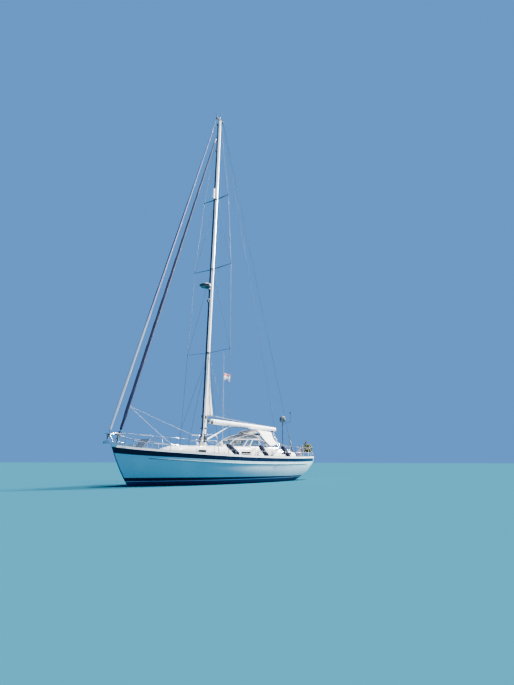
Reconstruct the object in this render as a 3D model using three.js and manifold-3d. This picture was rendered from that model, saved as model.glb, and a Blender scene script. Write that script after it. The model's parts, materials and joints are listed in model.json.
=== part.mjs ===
// A cruising sloop of about 14.8 m with a centre cockpit, afloat, with its sails furled.
// Millimetres. +X forward, +Y to port, +Z up. The origin is on the centreline, at the
// waterline, amidships.

import * as THREE from 'three';
import { mergeVertices } from 'three/addons/utils/BufferGeometryUtils.js';
import Module from 'manifold-3d';

const wasm = await Module();
wasm.setup();

// Driving dimensions

const GAP = 0.3; // between pieces that touch
const CAMBER = 60; // rise of the deck on the centreline
const RAIL_HEIGHT = 95; // cap rail above the deck edge
const RAIL_WIDTH = 62;
const TEAK = 14; // laid deck
const MAST_FOOT_X = 1600; // centre of the mast at the height below
const MAST_FOOT_Z = 1900;
const MAST_TOP_Z = 21170;
const MAST_RAKE = Math.tan(THREE.MathUtils.degToRad(2.44));
const MAST_FORE_AFT = 262;
const MAST_ACROSS = 172;
const WALL = 35; // coachroof moulding
const PANE = 8; // window glass
const PANE_INSET = WALL + 0.4; // outer face of the glass, inside the roof's surface
const FAR = 9000; // reach of the blocks that cut a piece off
const SOLE_Z = 620; // cockpit sole
const WELL_HALF = 480; // cockpit footwell, half width
const WELL_FORE_X = -780;
const WELL_AFT_X = -3350;
const GUARD_HEIGHT = 640; // upper guard wire above the deck edge
const WIRE = 7; // radius of a stay
const BOOM_FORE_X = 1120;

// Hull stations from stem to transom: sheer x, half beam, sheer z, keel x, keel z,
// fullness of the section, curve of the section fore and aft.

const STATIONS = [
  [7400, 0, 1680, 5550, -420, 1.25, 0.5],
  [7060, 215, 1636, 5300, -475, 1.3, 0.55],
  [6500, 600, 1572, 4950, -530, 1.38, 0.6],
  [5700, 1045, 1508, 4450, -600, 1.5, 0.7],
  [4700, 1430, 1450, 3800, -670, 1.65, 0.8],
  [3500, 1780, 1390, 3000, -730, 1.85, 0.9],
  [2200, 2025, 1338, 2000, -780, 2.05, 1],
  [800, 2145, 1300, 800, -810, 2.15, 1],
  [-800, 2180, 1276, -800, -800, 2.2, 1],
  [-2400, 2140, 1266, -2400, -700, 2.2, 1],
  [-3800, 2030, 1265, -3800, -530, 2.2, 1],
  [-5000, 1870, 1272, -5000, -320, 2.2, 1],
  [-6000, 1670, 1287, -6000, -85, 2.25, 1],
  [-6800, 1470, 1303, -6750, 175, 2.3, 1],
  [-7380, 1300, 1315, -7220, 500, 2.3, 1],
];
const STATION_STEPS = 28;
const SIDE_STEPS = 11;

// Coachroof sections: x, half width at the deck, height of the roof edge

const COACHROOF = [
  [4260, 640, 1480],
  [3950, 760, 1690],
  [3500, 900, 1738],
  [2400, 1120, 1765],
  [1300, 1250, 1785],
  [300, 1300, 1800],
  [-780, 1320, 1810],
];
const AFT_COACHROOF = [
  [-3500, 1200, 1700],
  [-4400, 1150, 1690],
  [-5300, 1030, 1660],
  [-5800, 930, 1610],
  [-6020, 880, 1400],
];
const ROOF_CROWN = 70;

const material = (color, roughness = 0.5, metalness = 0) =>
  new THREE.MeshStandardMaterial({ color, roughness, metalness });
const WHITE = material(0xf0efe9, 0.35);
const GELCOAT = material(0xe6ebea, 0.25);
const TEAKWOOD = material(0x9c7b58, 0.75);
const NAVY = material(0x141a3c, 0.8);
const DARK = material(0x20262c, 0.45);
const STEEL = material(0xb9bfc2, 0.25, 1);
const ALLOY = material(0xe7e8e6, 0.3, 0.2);
const GLASS = material(0x27323a, 0.08);
const CLEAR = material(0xc9d3d8, 0.1);
const CANVAS = material(0xeceadf, 0.9);
const GREY_CANVAS = material(0x68788c, 0.9);
const BOTTOM = material(0x1b2d52, 0.7);
const BRONZE = material(0x8f6a3c, 0.4, 1);
const YELLOW = material(0xa89a3e, 0.7);
const PINK = material(0x8a4a86, 0.85);
const FLAG = material(0x6d3442, 0.9);

// Solids: every piece is a closed mesh, joined and cut as one

function solid(geometry) {
  const plain = geometry.clone();
  plain.deleteAttribute('normal');
  plain.deleteAttribute('uv');
  const merged = mergeVertices(plain, 1e-3);
  const points = merged.attributes.position.array;
  const faces = [];
  let volume = 0;
  for (let i = 0; i < merged.index.count; i += 3) {
    const [a, b, c] = [0, 1, 2].map((k) => merged.index.getX(i + k));
    if (a === b || b === c || a === c) continue;
    faces.push([a, b, c]);
    const [p, q, r] = [a, b, c].map((v) => new THREE.Vector3().fromArray(points, v * 3));
    volume += p.dot(q.cross(r));
  }
  const turned = volume < 0 ? faces.map(([a, b, c]) => [a, c, b]) : faces;
  return new wasm.Manifold(new wasm.Mesh({
    numProp: 3,
    vertProperties: new Float32Array(points),
    triVerts: new Uint32Array(turned.flat()),
  }));
}

function moved(body, x, y, z) {
  const mesh = body.getMesh();
  const points = Float32Array.from(mesh.vertProperties);
  for (let i = 0; i < points.length; i += 3) {
    points[i] += x;
    points[i + 1] += y;
    points[i + 2] += z;
  }
  return new wasm.Manifold(new wasm.Mesh({
    numProp: 3,
    vertProperties: points,
    triVerts: Uint32Array.from(mesh.triVerts),
  }));
}

const join = (...bodies) => bodies.flat().reduce((sum, body) => sum.add(body));
const cut = (body, ...tools) => tools.flat().reduce((left, tool) => left.subtract(tool), body);

// The piece trimmed to lie GAP clear above its carriers; what is cut off below is dropped
function seat(piece, ...carriers) {
  const parts = cut(piece, carriers, carriers.map((c) => moved(c, 0, 0, GAP))).decompose();
  return parts.reduce((largest, part) => (part.volume() > largest.volume() ? part : largest));
}

function block(x0, x1, y0, y1, z0, z1) {
  const box = new THREE.BoxGeometry(x1 - x0, y1 - y0, z1 - z0);
  return solid(box.translate((x0 + x1) / 2, (y0 + y1) / 2, (z0 + z1) / 2));
}

function bar(from, to, radius, sides = 8, endRadius = radius) {
  const a = new THREE.Vector3(...from);
  const b = new THREE.Vector3(...to);
  const along = b.clone().sub(a);
  const rod = new THREE.CylinderGeometry(endRadius, radius, along.length(), sides);
  rod.translate(0, along.length() / 2, 0);
  const turn = new THREE.Quaternion().setFromUnitVectors(
    new THREE.Vector3(0, 1, 0), along.clone().normalize());
  rod.applyQuaternion(turn);
  return solid(rod.translate(...from));
}

// A round rail along straight stretches, mitred at each bend
function rail(points, radius, sides = 6) {
  const path = points.map((p) => new THREE.Vector3(...p));
  const way = (i) => path[Math.min(i + 1, path.length - 1)].clone().sub(path[Math.min(i, path.length - 2)]).normalize();
  const start = Math.abs(way(0).z) > 0.9 ? new THREE.Vector3(1, 0, 0) : new THREE.Vector3(0, 0, 1);
  let normal = start;
  return loft(path.map((p, i) => {
    const along = way(Math.max(0, i - 1)).add(way(i)).normalize();
    normal = normal.clone().addScaledVector(along, -normal.dot(along)).normalize();
    const side = new THREE.Vector3().crossVectors(along, normal);
    return Array.from({ length: sides }, (_, k) => {
      const turn = (2 * Math.PI * k) / sides;
      return p.clone().addScaledVector(normal, radius * Math.cos(turn))
        .addScaledVector(side, radius * Math.sin(turn)).toArray();
    });
  }));
}

// Rings of equally many points joined into a skin, with fans over both ends
function loft(rings) {
  const sides = rings[0].length;
  const points = rings.flat();
  const faces = [];
  for (let i = 0; i < rings.length - 1; i += 1) {
    for (let j = 0; j < sides; j += 1) {
      const k = (j + 1) % sides;
      const here = i * sides;
      const next = (i + 1) * sides;
      faces.push(here + j, next + j, next + k, here + j, next + k, here + k);
    }
  }
  for (const [ring, flip] of [[0, false], [rings.length - 1, true]]) {
    const middle = rings[ring]
      .reduce((sum, p) => sum.map((v, axis) => v + p[axis]), [0, 0, 0])
      .map((v) => v / sides);
    points.push(middle);
    for (let j = 0; j < sides; j += 1) {
      const a = ring * sides + j;
      const b = ring * sides + ((j + 1) % sides);
      faces.push(...(flip ? [points.length - 1, b, a] : [points.length - 1, a, b]));
    }
  }
  const geometry = new THREE.BufferGeometry();
  geometry.setAttribute('position', new THREE.Float32BufferAttribute(points.flat(), 3));
  geometry.setIndex(faces);
  return solid(geometry);
}

// A curved wall between an outer and an inner grid of points
function shell(outer, inner) {
  const [rows, columns] = [outer.length, outer[0].length];
  const at = (i, j, side) => side * rows * columns + i * columns + j;
  const faces = [];
  for (let i = 0; i < rows - 1; i += 1) {
    for (let j = 0; j < columns - 1; j += 1) {
      const [a, b, c, d] = [[i, j], [i + 1, j], [i + 1, j + 1], [i, j + 1]];
      for (const [p, q, r] of [[a, b, c], [a, c, d]]) {
        faces.push(at(...p, 0), at(...q, 0), at(...r, 0), at(...r, 1), at(...q, 1), at(...p, 1));
      }
    }
  }
  const border = [];
  for (let i = 0; i < rows - 1; i += 1) border.push([i, 0]);
  for (let j = 0; j < columns - 1; j += 1) border.push([rows - 1, j]);
  for (let i = rows - 1; i > 0; i -= 1) border.push([i, columns - 1]);
  for (let j = columns - 1; j > 0; j -= 1) border.push([0, j]);
  border.forEach((p, k) => {
    const q = border[(k + 1) % border.length];
    faces.push(at(...q, 0), at(...p, 0), at(...p, 1), at(...q, 0), at(...p, 1), at(...q, 1));
  });
  const geometry = new THREE.BufferGeometry();
  const points = [outer, inner].flat(3);
  geometry.setAttribute('position', new THREE.Float32BufferAttribute(points, 3));
  geometry.setIndex(faces);
  return solid(geometry);
}

const object = new THREE.Group();

function piece(name, body, finish) {
  const { vertProperties, triVerts } = body.getMesh();
  const geometry = new THREE.BufferGeometry();
  geometry.setAttribute('position', new THREE.BufferAttribute(vertProperties, 3));
  geometry.setIndex(new THREE.BufferAttribute(triVerts, 1));
  geometry.computeVertexNormals();
  const mesh = new THREE.Mesh(geometry, finish);
  mesh.name = name;
  object.add(mesh);
}

// Hull form

function smooth(table, u) {
  const i = Math.min(Math.floor(u), table.length - 2);
  const t = u - i;
  const row = (k) => table[Math.max(0, Math.min(table.length - 1, k))];
  return row(i).map((_, column) => {
    const [a, b, c, d] = [-1, 0, 1, 2].map((k) => row(i + k)[column]);
    const bend = (2 * a - 5 * b + 4 * c - d) * t * t + (3 * b - a - 3 * c + d) * t * t * t;
    return b + 0.5 * ((c - a) * t + bend);
  });
}

const stations = Array.from({ length: STATION_STEPS + 1 }, (_, i) =>
  smooth(STATIONS, (i / STATION_STEPS) * (STATIONS.length - 1)));

// A point of the port side at a share of the height from keel to sheer
function sidePoint(station, rise) {
  const [sheerX, beam, sheerZ, keelX, keelZ, full, curve] = station;
  const turn = Math.acos((1 - rise) ** (full / 2));
  return [
    keelX + (sheerX - keelX) * rise ** curve,
    beam * Math.sin(turn) ** (2 / full),
    keelZ + (sheerZ - keelZ) * rise,
  ];
}

function riseAt(station, step) {
  return 1 - Math.cos((step / SIDE_STEPS) * (Math.PI / 2)) ** (2 / station[5]);
}

const DECK_ROWS = [0.5, 0, -0.5];

function hullRing(station) {
  const side = Array.from({ length: SIDE_STEPS + 1 }, (_, step) =>
    sidePoint(station, riseAt(station, step)));
  const [sheerX, beam, sheerZ] = station;
  const deck = DECK_ROWS.map((share) =>
    [sheerX, beam * share, sheerZ + (beam ? CAMBER * (1 - share * share) : 0)]);
  const other = side.slice(1).reverse().map(([x, y, z]) => [x, -y, z]);
  return [...side, ...deck, ...other];
}

// Half beam and height of the deck edge at a given x
function sheerAt(x) {
  const i = Math.max(1, stations.findIndex((s) => s[0] <= x));
  const [fore, aft] = [stations[i - 1], stations[i] ?? stations[stations.length - 1]];
  const t = Math.min(1, Math.max(0, (fore[0] - x) / (fore[0] - aft[0])));
  return { beam: fore[1] + (aft[1] - fore[1]) * t, z: fore[2] + (aft[2] - fore[2]) * t };
}

const deckZ = (x, y) => {
  const { beam, z } = sheerAt(x);
  return z + CAMBER * (1 - Math.min(1, (y / beam) ** 2));
};

// Trunk of the coachroof: sections across, open below when it is drawn smaller
function trunk(table, inset, bottom) {
  const ends = inset ? [-inset, inset] : [0, 0];
  const rings = table.map(([x, half, edge], i) => {
    const shift = i === 0 ? ends[0] : i === table.length - 1 ? ends[1] : 0;
    const side = [
      [half - inset, bottom],
      [half - 25 - inset, edge - 70],
      [half - 62 - inset, edge - 18 - inset],
      [half * 0.55, edge + ROOF_CROWN * 0.7 - inset],
      [0, edge + ROOF_CROWN - inset],
    ];
    const other = side.slice(0, 4).reverse().map(([y, z]) => [-y, z]);
    return [...side, ...other].map(([y, z]) => [x + shift, y, z]);
  });
  return loft(rings);
}

// Mast axis

const mastX = (z) => MAST_FOOT_X - (z - MAST_FOOT_Z) * MAST_RAKE;

function mastBody(extra, z0, z1) {
  const ring = (z, share) => Array.from({ length: 16 }, (_, i) => {
    const turn = (Math.PI * 2 * i) / 16;
    return [
      mastX(z) + ((MAST_FORE_AFT / 2) * share + extra) * Math.cos(turn),
      ((MAST_ACROSS / 2) * share + extra) * Math.sin(turn),
      z,
    ];
  });
  return loft([ring(z0, 1), ring(17000, 1), ring(z1, 0.72)]);
}

// Hull with its cockpit well, saloon and engine bay

const canoe = loft(stations.map(hullRing));

const RUB_DROP = 325; // rub rail, below the deck edge
const rubRail = (side) => loft(stations.slice(3, 25).map((station) => {
  const height = station[2] - station[4];
  const at = (drop) => sidePoint(station, 1 - drop / height);
  const [x, y] = at(RUB_DROP);
  return [[-14, -24], [20, -13], [20, 13], [-14, 24]].map(
    ([out, up]) => [x, side * (y + out), station[2] - RUB_DROP + up]);
}));

const SALOON = block(-620, 3380, -850, 850, -350, 2500);
const ENGINE = { aft: -1780, fore: -780, half: 300, foot: -400 + GAP, head: 300 };
const ENGINE_BAY = block(ENGINE.aft - GAP, -600, -ENGINE.half - GAP, ENGINE.half + GAP, ENGINE.foot - GAP, ENGINE.head + GAP);
const DOORWAY = block(-900, -600, -310, 310, 720, 1740);
const WELL = block(WELL_AFT_X, WELL_FORE_X, -WELL_HALF, WELL_HALF, SOLE_Z, 2500);
const RUDDER_STOCK = { x: -5560, radius: 42 };
const stockBore = bar([RUDDER_STOCK.x, 0, -400], [RUDDER_STOCK.x, 0, 150], 44, 16);

const hull = cut(join(canoe, rubRail(1), rubRail(-1)),
  SALOON, ENGINE_BAY, DOORWAY, WELL, stockBore);
piece('hull', hull, GELCOAT);

// Fin keel with its bulb, skeg and shaft bracket

const keelFin = loft([
  [2150, -250, 105, -560], [1900, -320, 105, -900], [1500, -700, 75, -1500], [1350, -900, 60, -1640],
].map(([fore, aft, half, z]) => [
  [fore, 0], [fore - 350, half], [(fore + aft) / 2, half], [aft, 0],
  [(fore + aft) / 2, -half], [fore - 350, -half],
].map(([x, y]) => [x, y, z])));
const keelBulb = loft([
  [1650, 8, 8], [1400, 130, 110], [700, 210, 150], [-200, 190, 140], [-900, 90, 80], [-1250, 8, 8],
].map(([x, half, tall]) => Array.from({ length: 8 }, (_, i) => {
  const turn = (Math.PI * (2 * i + 1)) / 8;
  return [x, half * Math.cos(turn), -1740 + tall * Math.sin(turn)];
})));
piece('keel', cut(join(keelFin, keelBulb), moved(canoe, 0, 0, -GAP)), BOTTOM);

const skeg = loft([[-4700, -5500, 62, -200], [-5060, -5500, 40, -1180]].map(
  ([fore, aft, half, z]) => [
    [fore, 0], [fore - 200, half], [aft, half * 0.8], [aft, -half * 0.8], [fore - 200, -half],
  ].map(([x, y]) => [x, y, z])));
piece('skeg', cut(skeg, moved(canoe, 0, 0, -GAP)), BOTTOM);

const SHAFT = { from: [-2900, 0, -560], to: [-4290, 0, -735] };
const shaftWay = new THREE.Vector3(...SHAFT.to).sub(new THREE.Vector3(...SHAFT.from)).normalize();
const shaftAt = (s) => shaftWay.clone().multiplyScalar(s).add(new THREE.Vector3(...SHAFT.to)).toArray();
const strut = loft([[-4080, 26, -710], [-3960, 40, -300]].map(([x, half, z]) => [
  [x + 70, 0], [x, half / 2], [x - 70, 0], [x, -half / 2],
].map(([px, py]) => [px, py, z])));
piece('propeller_shaft', cut(
  join(bar(SHAFT.from, shaftAt(-GAP), 20, 10), bar(shaftAt(-270), shaftAt(-130), 36, 10), strut),
  moved(canoe, 0, 0, -GAP)), BRONZE);

const hub = bar(shaftAt(0), shaftAt(120), 52, 12, 26);
const across = new THREE.Vector3(0, 1, 0);
const upward = new THREE.Vector3().crossVectors(shaftWay, across);
const blades = [0, 1, 2].map((i) => {
  const turn = (Math.PI * 2 * i) / 3;
  const out = across.clone().multiplyScalar(Math.cos(turn)).addScaledVector(upward, Math.sin(turn));
  const round = new THREE.Vector3().crossVectors(shaftWay, out);
  return loft([[30, 38, 1.0], [130, 78, 0.72], [205, 66, 0.5], [238, 22, 0.45]].map(
    ([r, half, twist]) => [[-half, -5], [half, -5], [half, 5], [-half, 5]].map(([w, t]) => {
      const place = new THREE.Vector3(...shaftAt(60)).addScaledVector(out, r);
      place.addScaledVector(round, w * Math.cos(twist) - t * Math.sin(twist));
      place.addScaledVector(shaftWay, w * Math.sin(twist) + t * Math.cos(twist));
      return place.toArray();
    })));
});
piece('propeller', join(hub, blades), BRONZE);

const rudderBlade = loft([
  [-5515, -6130, 46, -300], [-5515, -6180, 46, -700], [-5515, -6160, 40, -1190],
  [-5360, -6140, 36, -1196], [-5370, -6090, 26, -1650],
].map(([fore, aft, half, z]) => [
  [fore, half * 0.5], [fore - 150, half], [aft, 5], [aft, -5], [fore - 150, -half], [fore, -half * 0.5],
].map(([x, y]) => [x, y, z])));
const stock = bar([RUDDER_STOCK.x, 0, -420], [RUDDER_STOCK.x, 0, 150 - GAP], RUDDER_STOCK.radius, 16);
piece('rudder', join(rudderBlade, stock), BOTTOM);

// Deck, cap rail and the superstructure

const coachroofOuter = trunk(COACHROOF, 0, 1100);
const coachroofInner = trunk(COACHROOF, WALL, 1000);
const aftRoofOuter = trunk(AFT_COACHROOF, 0, 1100);
const aftRoofInner = trunk(AFT_COACHROOF, WALL, 1000);

// Coaming sections round the cockpit: x, half width outside, height
const COAMING = [[-781, 1322, 1835], [-1800, 1335, 1845], [-2800, 1310, 1850], [-3499, 1240, 1850]];
const coamingOuter = loft(COAMING.map(([x, half, top]) => [
  [half, 1100], [half - 30, top - 60], [half - 60, top],
  [-(half - 60), top], [-(half - 30), top - 60], [-half, 1100],
].map(([y, z]) => [x, y, z])));
const coamingInner = block(-3380, -700, -1060, 1060, 900, 2500);

const laidDeck = loft(stations.slice(2).map((station) => {
  const [x, beam, z] = station;
  const inside = Math.max(20, beam - RAIL_WIDTH - 12);
  const lift = (y, up) => z + CAMBER * (1 - (y / beam) ** 2) + up;
  const rows = [1, 0.5, 0, -0.5, -1].map((share) => share * inside);
  return [
    ...rows.map((y) => [x, y, lift(y, TEAK)]),
    ...rows.reverse().map((y) => [x, y, lift(y, -10)]),
  ];
}));
const grown = (table, side) => trunk(table.map(([x, half, z], i) =>
  [x + (i === 0 ? side : i === table.length - 1 ? -side : 0), half + side, z]), 0, 1100);
const hullTop = moved(canoe, 0, 0, GAP);
const sternMargin = block(-7400, -7240, -1400, 1400, 1000, 1600);
const deck = cut(laidDeck, hullTop, grown(COACHROOF, 0.6), grown(AFT_COACHROOF, 0.6),
  moved(coamingOuter, 0, GAP, 0), moved(coamingOuter, 0, -GAP, 0),
  block(-800, -770, -1400, 1400, 1000, 1600), sternMargin);
piece('deck', deck, TEAKWOOD);

const sternRailX = -7365;
const railPath = stations.slice(1).map(([x, beam, z]) => [Math.max(x, sternRailX), beam, z]);
const railSection = ([x, y, z], inward) => [[6, 2 * GAP], [-inward, 2 * GAP], [-inward + 8, RAIL_HEIGHT], [0, RAIL_HEIGHT]]
  .map(([out, up]) => [x, y + Math.sign(y) * out, z + up]);
const portRail = loft(railPath.map((p) => railSection(p, RAIL_WIDTH)));
const starRail = loft(railPath.map(([x, y, z]) => railSection([x, -y, z], RAIL_WIDTH)));
const [, sternBeam, sternZ] = stations[STATION_STEPS];
const sternRail = loft([[0.985, 0.02], [0.5, 0.75], [0, 1], [-0.5, 0.75], [-0.985, 0.02]].map(([share, rise]) => {
  const low = sternZ + CAMBER * rise + 2 * GAP;
  const high = sternZ + RAIL_HEIGHT;
  const inner = sternRailX + RAIL_WIDTH;
  return [[sternRailX, low], [inner, low], [inner, high], [sternRailX, high]].map(
    ([x, z]) => [x, share * sternBeam, z]);
}));
const stemX = stations[0][0];
const stemRail = loft([
  [stemX + 12, 30, 1680], [stations[1][0] - 60, stations[1][1] + 20, stations[1][2]],
].map(([x, half, z]) => [[half, 0], [half, RAIL_HEIGHT], [-half, RAIL_HEIGHT], [-half, 0]].map(
  ([y, up]) => [x, y, z + up])));
const capRail = cut(join(portRail, starRail, sternRail, cut(stemRail, canoe)), hullTop, deck);
piece('cap_rail', capRail, WHITE);

const DECK = [canoe, moved(canoe, 0, 0, 2.5 * GAP), cut(laidDeck, sternMargin)];

// Windows: x centre, length, height, z centre; the panes are one band inside each roof
const WINDOWS = [[2800, 460, 95, 1570], [-330, 780, 130, 1515]];
const AFT_WINDOWS = [[-4150, 420, 110, 1560], [-5000, 380, 105, 1560]];
const windowCuts = (list) => list.map(([x, long, tall, z]) =>
  block(x - long / 2, x + long / 2, -2000, 2000, z - tall / 2, z + tall / 2));
const HATCHWAY = { fore: -60, aft: -1200, half: 305 };
const runners = [1, -1].map((side) => block(-778, 600, side * 372 - 14, side * 372 + 14, 1840, 1902));
const roofHoles = [block(HATCHWAY.aft, HATCHWAY.fore, -HATCHWAY.half, HATCHWAY.half, 1500, 2500), DOORWAY];
const coachroof = seat(
  cut(join(cut(coachroofOuter, coachroofInner), runners), windowCuts(WINDOWS), roofHoles), hull);
piece('coachroof', coachroof, WHITE);

// Glass along the inside of a roof's walls, between two heights and forward of x
const paneBand = (table, aftX, z0, z1) => cut(trunk(table, PANE_INSET, 1000),
  trunk(table, PANE_INSET + PANE, 900), block(-FAR, FAR, -FAR, FAR, z1, FAR),
  block(-FAR, FAR, -FAR, FAR, 0, z0), block(-FAR, aftX, -FAR, FAR, 0, FAR));
const lowFore = block(1000, 5000, -2000, 2000, 1000, 1505); // the deck rises towards the bow
piece('coachroof_glass', cut(paneBand(COACHROOF, -726, 1435, 1640), hullTop, lowFore), GLASS);

const aftRoof = seat(cut(aftRoofOuter, aftRoofInner, windowCuts(AFT_WINDOWS)), hull);
piece('aft_coachroof', aftRoof, WHITE);
piece('aft_coachroof_glass', cut(paneBand(AFT_COACHROOF, -8000, 1490, 1625), hullTop), GLASS);

const coaming = seat(cut(coamingOuter, coamingInner), hull);
piece('cockpit_coaming', coaming, WHITE);

// Windscreen: plan of foot and head, from port aft round the front; it leans in and aft

const mirrored = (half) => [...half, ...half.toReversed().map(([x, y]) => [x, -y])];
const SCREEN_FOOT = mirrored([[-1700, 1165], [-790, 1180], [-480, 980], [150, 450]]);
const SCREEN_HEAD = mirrored([[-1690, 1110], [-1230, 1065], [-1030, 885], [-460, 405]]);
const SCREEN_TOP_Z = 2240;
const HATCH_ROOM_Z = 1975; // foot of the middle pane, over the sliding hatch
const COAMING_SEAT_Z = 1845;
const MIDDLE_PANE_HALF = 418;
const roofZ = (x, y) => {
  const i = Math.min(COACHROOF.length - 1, Math.max(1, COACHROOF.findIndex(([sx]) => sx <= x)));
  const [fore, aft] = [COACHROOF[i - 1], COACHROOF[i]];
  const t = (fore[0] - x) / (fore[0] - aft[0]);
  const [half, roofEdge] = [1, 2].map((k) => fore[k] + (aft[k] - fore[k]) * t);
  const share = Math.abs(y) / half;
  return roofEdge + ROOF_CROWN * (share < 0.55 ? 1 - (0.3 * share) / 0.55 : 0.7 - (0.95 * (share - 0.55)) / 0.4);
};
const screenFoot = SCREEN_FOOT.map(([x, y]) => [x, y, (x < WELL_FORE_X ? COAMING_SEAT_Z : roofZ(x, y)) + 10]);
const screenHead = SCREEN_HEAD.map(([x, y]) => [x, y, SCREEN_TOP_Z]);
const along = (a, b, t) => a.map((v, k) => v + (b[k] - v) * t);
const paneNormal = (i) => {
  const [foot, next, head] = [screenFoot[i], screenFoot[i + 1], screenHead[i]].map((p) => new THREE.Vector3(...p));
  return next.sub(foot).cross(head.sub(foot)).normalize();
};
// A point of the screen moved inwards by the same distance from the panes on both sides
const inside = (point, i, distance) => {
  const [a, b] = [paneNormal(Math.max(0, i - 1)), paneNormal(Math.min(screenFoot.length - 2, i))];
  const mid = a.clone().add(b);
  return new THREE.Vector3(...point).addScaledVector(mid, distance / mid.dot(a)).toArray();
};
const PANE_ROWS = [-0.4, 0, 0.5, 0.96]; // shares of the way from foot to head
const screenWall = (thick, away) => loft(screenFoot.map((foot, i) => {
  const face = (distance) => PANE_ROWS.map((share) => inside(along(foot, screenHead[i], share), i, distance));
  return [...face(away), ...face(away + thick).toReversed()];
}));
const MIDDLE = [3, 4]; // posts on both sides of the middle pane
const middleFoot = MIDDLE.map((i) => along(screenFoot[i], screenHead[i],
  (HATCH_ROOM_Z - screenFoot[i][2]) / (SCREEN_TOP_Z - screenFoot[i][2])));
const HEAD_RADIUS = 16;
const FOOT_RADIUS = 22;
const POST_RADIUS = 15;
const screenPosts = screenFoot.map((foot, i) => bar(foot, screenHead[i], POST_RADIUS, 6));
const screenFrame = join(rail(screenHead, HEAD_RADIUS), rail(screenFoot.slice(0, 4), FOOT_RADIUS),
  rail(screenFoot.slice(4), FOOT_RADIUS), bar(...middleFoot, POST_RADIUS, 6), screenPosts);
piece('windscreen_frame', seat(screenFrame, coachroofOuter, coamingOuter), ALLOY);
const hatchRoom = block(-1200, 700, -MIDDLE_PANE_HALF, MIDDLE_PANE_HALF, 1700, HATCH_ROOM_Z);
piece('windscreen_glass', seat(cut(screenWall(PANE, 26), hatchRoom), coachroofOuter, coamingOuter), GLASS);

// Sprayhood: canvas arches, and a clear front from the windscreen's head to the first: x,
// half width, foot z, crown z

const HOOD = [
  [-1850, 1085, 2200, 2605], [-2300, 1100, 2130, 2640], [-2700, 1105, 2080, 2650], [-3050, 1105, 2030, 2640],
];
const HOOD_THICK = 22;
const CLEAR_THICK = 8;
const HOOD_FOOT_Z = SCREEN_TOP_Z + HEAD_RADIUS + GAP;
const arch = ([x, half, foot, crown], inset) => [-1, -0.97, -0.82, -0.5, 0, 0.5, 0.82, 0.97, 1].map((share) => {
  const rise = (1 - Math.abs(share) ** 3.2) ** 0.8;
  return [x, share * (half - inset), foot + (crown - foot) * rise - inset * Math.min(1, rise * 2)];
});
const sprayhood = shell(HOOD.map((row) => arch(row, 0)), HOOD.map((row) => arch(row, HOOD_THICK)));
piece('sprayhood', sprayhood, GREY_CANVAS);
const CLEAR_FOOT = [...SCREEN_HEAD.slice(0, 4), [-452, 0], ...SCREEN_HEAD.slice(4)];
const CLEAR_CROWN = 30; // rise of the clear front halfway up
const clearArch = (inset) => arch([HOOD[0][0] + GAP, ...HOOD[0].slice(1)], inset).toReversed();
const clearFoot = (inset) => CLEAR_FOOT.map(([x, y]) => [x - inset * 0.5, y * (1 - inset / 1100), HOOD_FOOT_Z]);
const clearMiddle = (inset) => clearFoot(inset).map((p, i) =>
  along(p, clearArch(inset)[i], 0.5).map((v, k) => v + (k === 2 ? CLEAR_CROWN : 0)));
piece('sprayhood_window', shell(
  ...[0, CLEAR_THICK].map((inset) => [clearFoot(inset), clearMiddle(inset), clearArch(inset)])), CLEAR);
const BOW_INSET = HOOD_THICK + 16;
const BOW_PIVOT = { fore: -2050, aft: -2640, y: 1130, z: 1700 };
const hoodBows = [[HOOD[0], BOW_PIVOT.fore], [HOOD[3], BOW_PIVOT.aft]].map(([[x, ...rest], pivot]) => {
  const bow = arch([x + (pivot - x) * 0.04, ...rest], BOW_INSET);
  return rail([[pivot, -BOW_PIVOT.y, BOW_PIVOT.z], ...bow, [pivot, BOW_PIVOT.y, BOW_PIVOT.z]], 12);
});
const hoodSides = [1, -1].map((side) => {
  const ends = [[HOOD[0], -20], [HOOD[3], 15]];
  return bar(...ends.map(([[x, half, foot], shift]) => [x + shift, side * (half - BOW_INSET), foot + 5]), 10, 6);
});
piece('sprayhood_bow', seat(cut(join(hoodBows, hoodSides), sprayhood), coamingOuter), STEEL);

// Awning on three bows: half arch from the low edge to the crown: y, z, fore x, aft x, lift aft
const BIMINI = [
  [1640, 1900, -2200, -2860, 210], [1330, 2110, -2230, -3020, 120], [1010, 2400, -2260, -3260, 50],
  [720, 2740, -2300, -3520, 0], [400, 2822, -2330, -3830, 0], [0, 2845, -2350, -4050, 0],
];
const biminiArch = [...BIMINI, ...BIMINI.slice(0, -1).toReversed().map(([y, ...rest]) => [-y, ...rest])];
const SAG = [0, -10, 0, 30]; // drop of the cloth between fore and aft edge
const sagAt = (share) => {
  const k = Math.min(2, Math.floor(share * 3));
  return SAG[k] + (SAG[k + 1] - SAG[k]) * (share * 3 - k);
};
const under = (y, z, depth) => [Math.sign(y) * (Math.abs(y) - depth * 0.8), z - depth * 0.6];
const biminiRing = (share, depth) => biminiArch.map(([y, z, fore, aft, lift]) =>
  [fore + (aft - fore) * share, ...under(y, z + lift * share - sagAt(share), depth)]);
const biminiRows = [0, 1 / 3, 2 / 3, 1];
const bimini = shell(...[0, 24].map((depth) => biminiRows.map((share) => biminiRing(share, depth))));
piece('bimini', bimini, CANVAS);
const BOW_FOOT = { x: -2850, y: 1240, z: 1700 }; // the bows fan out from near this place
const BOW_SHOULDER = { y: 1270, z: 2030 };
const BOWS_X = [-2270, -2960, -3600];
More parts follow.
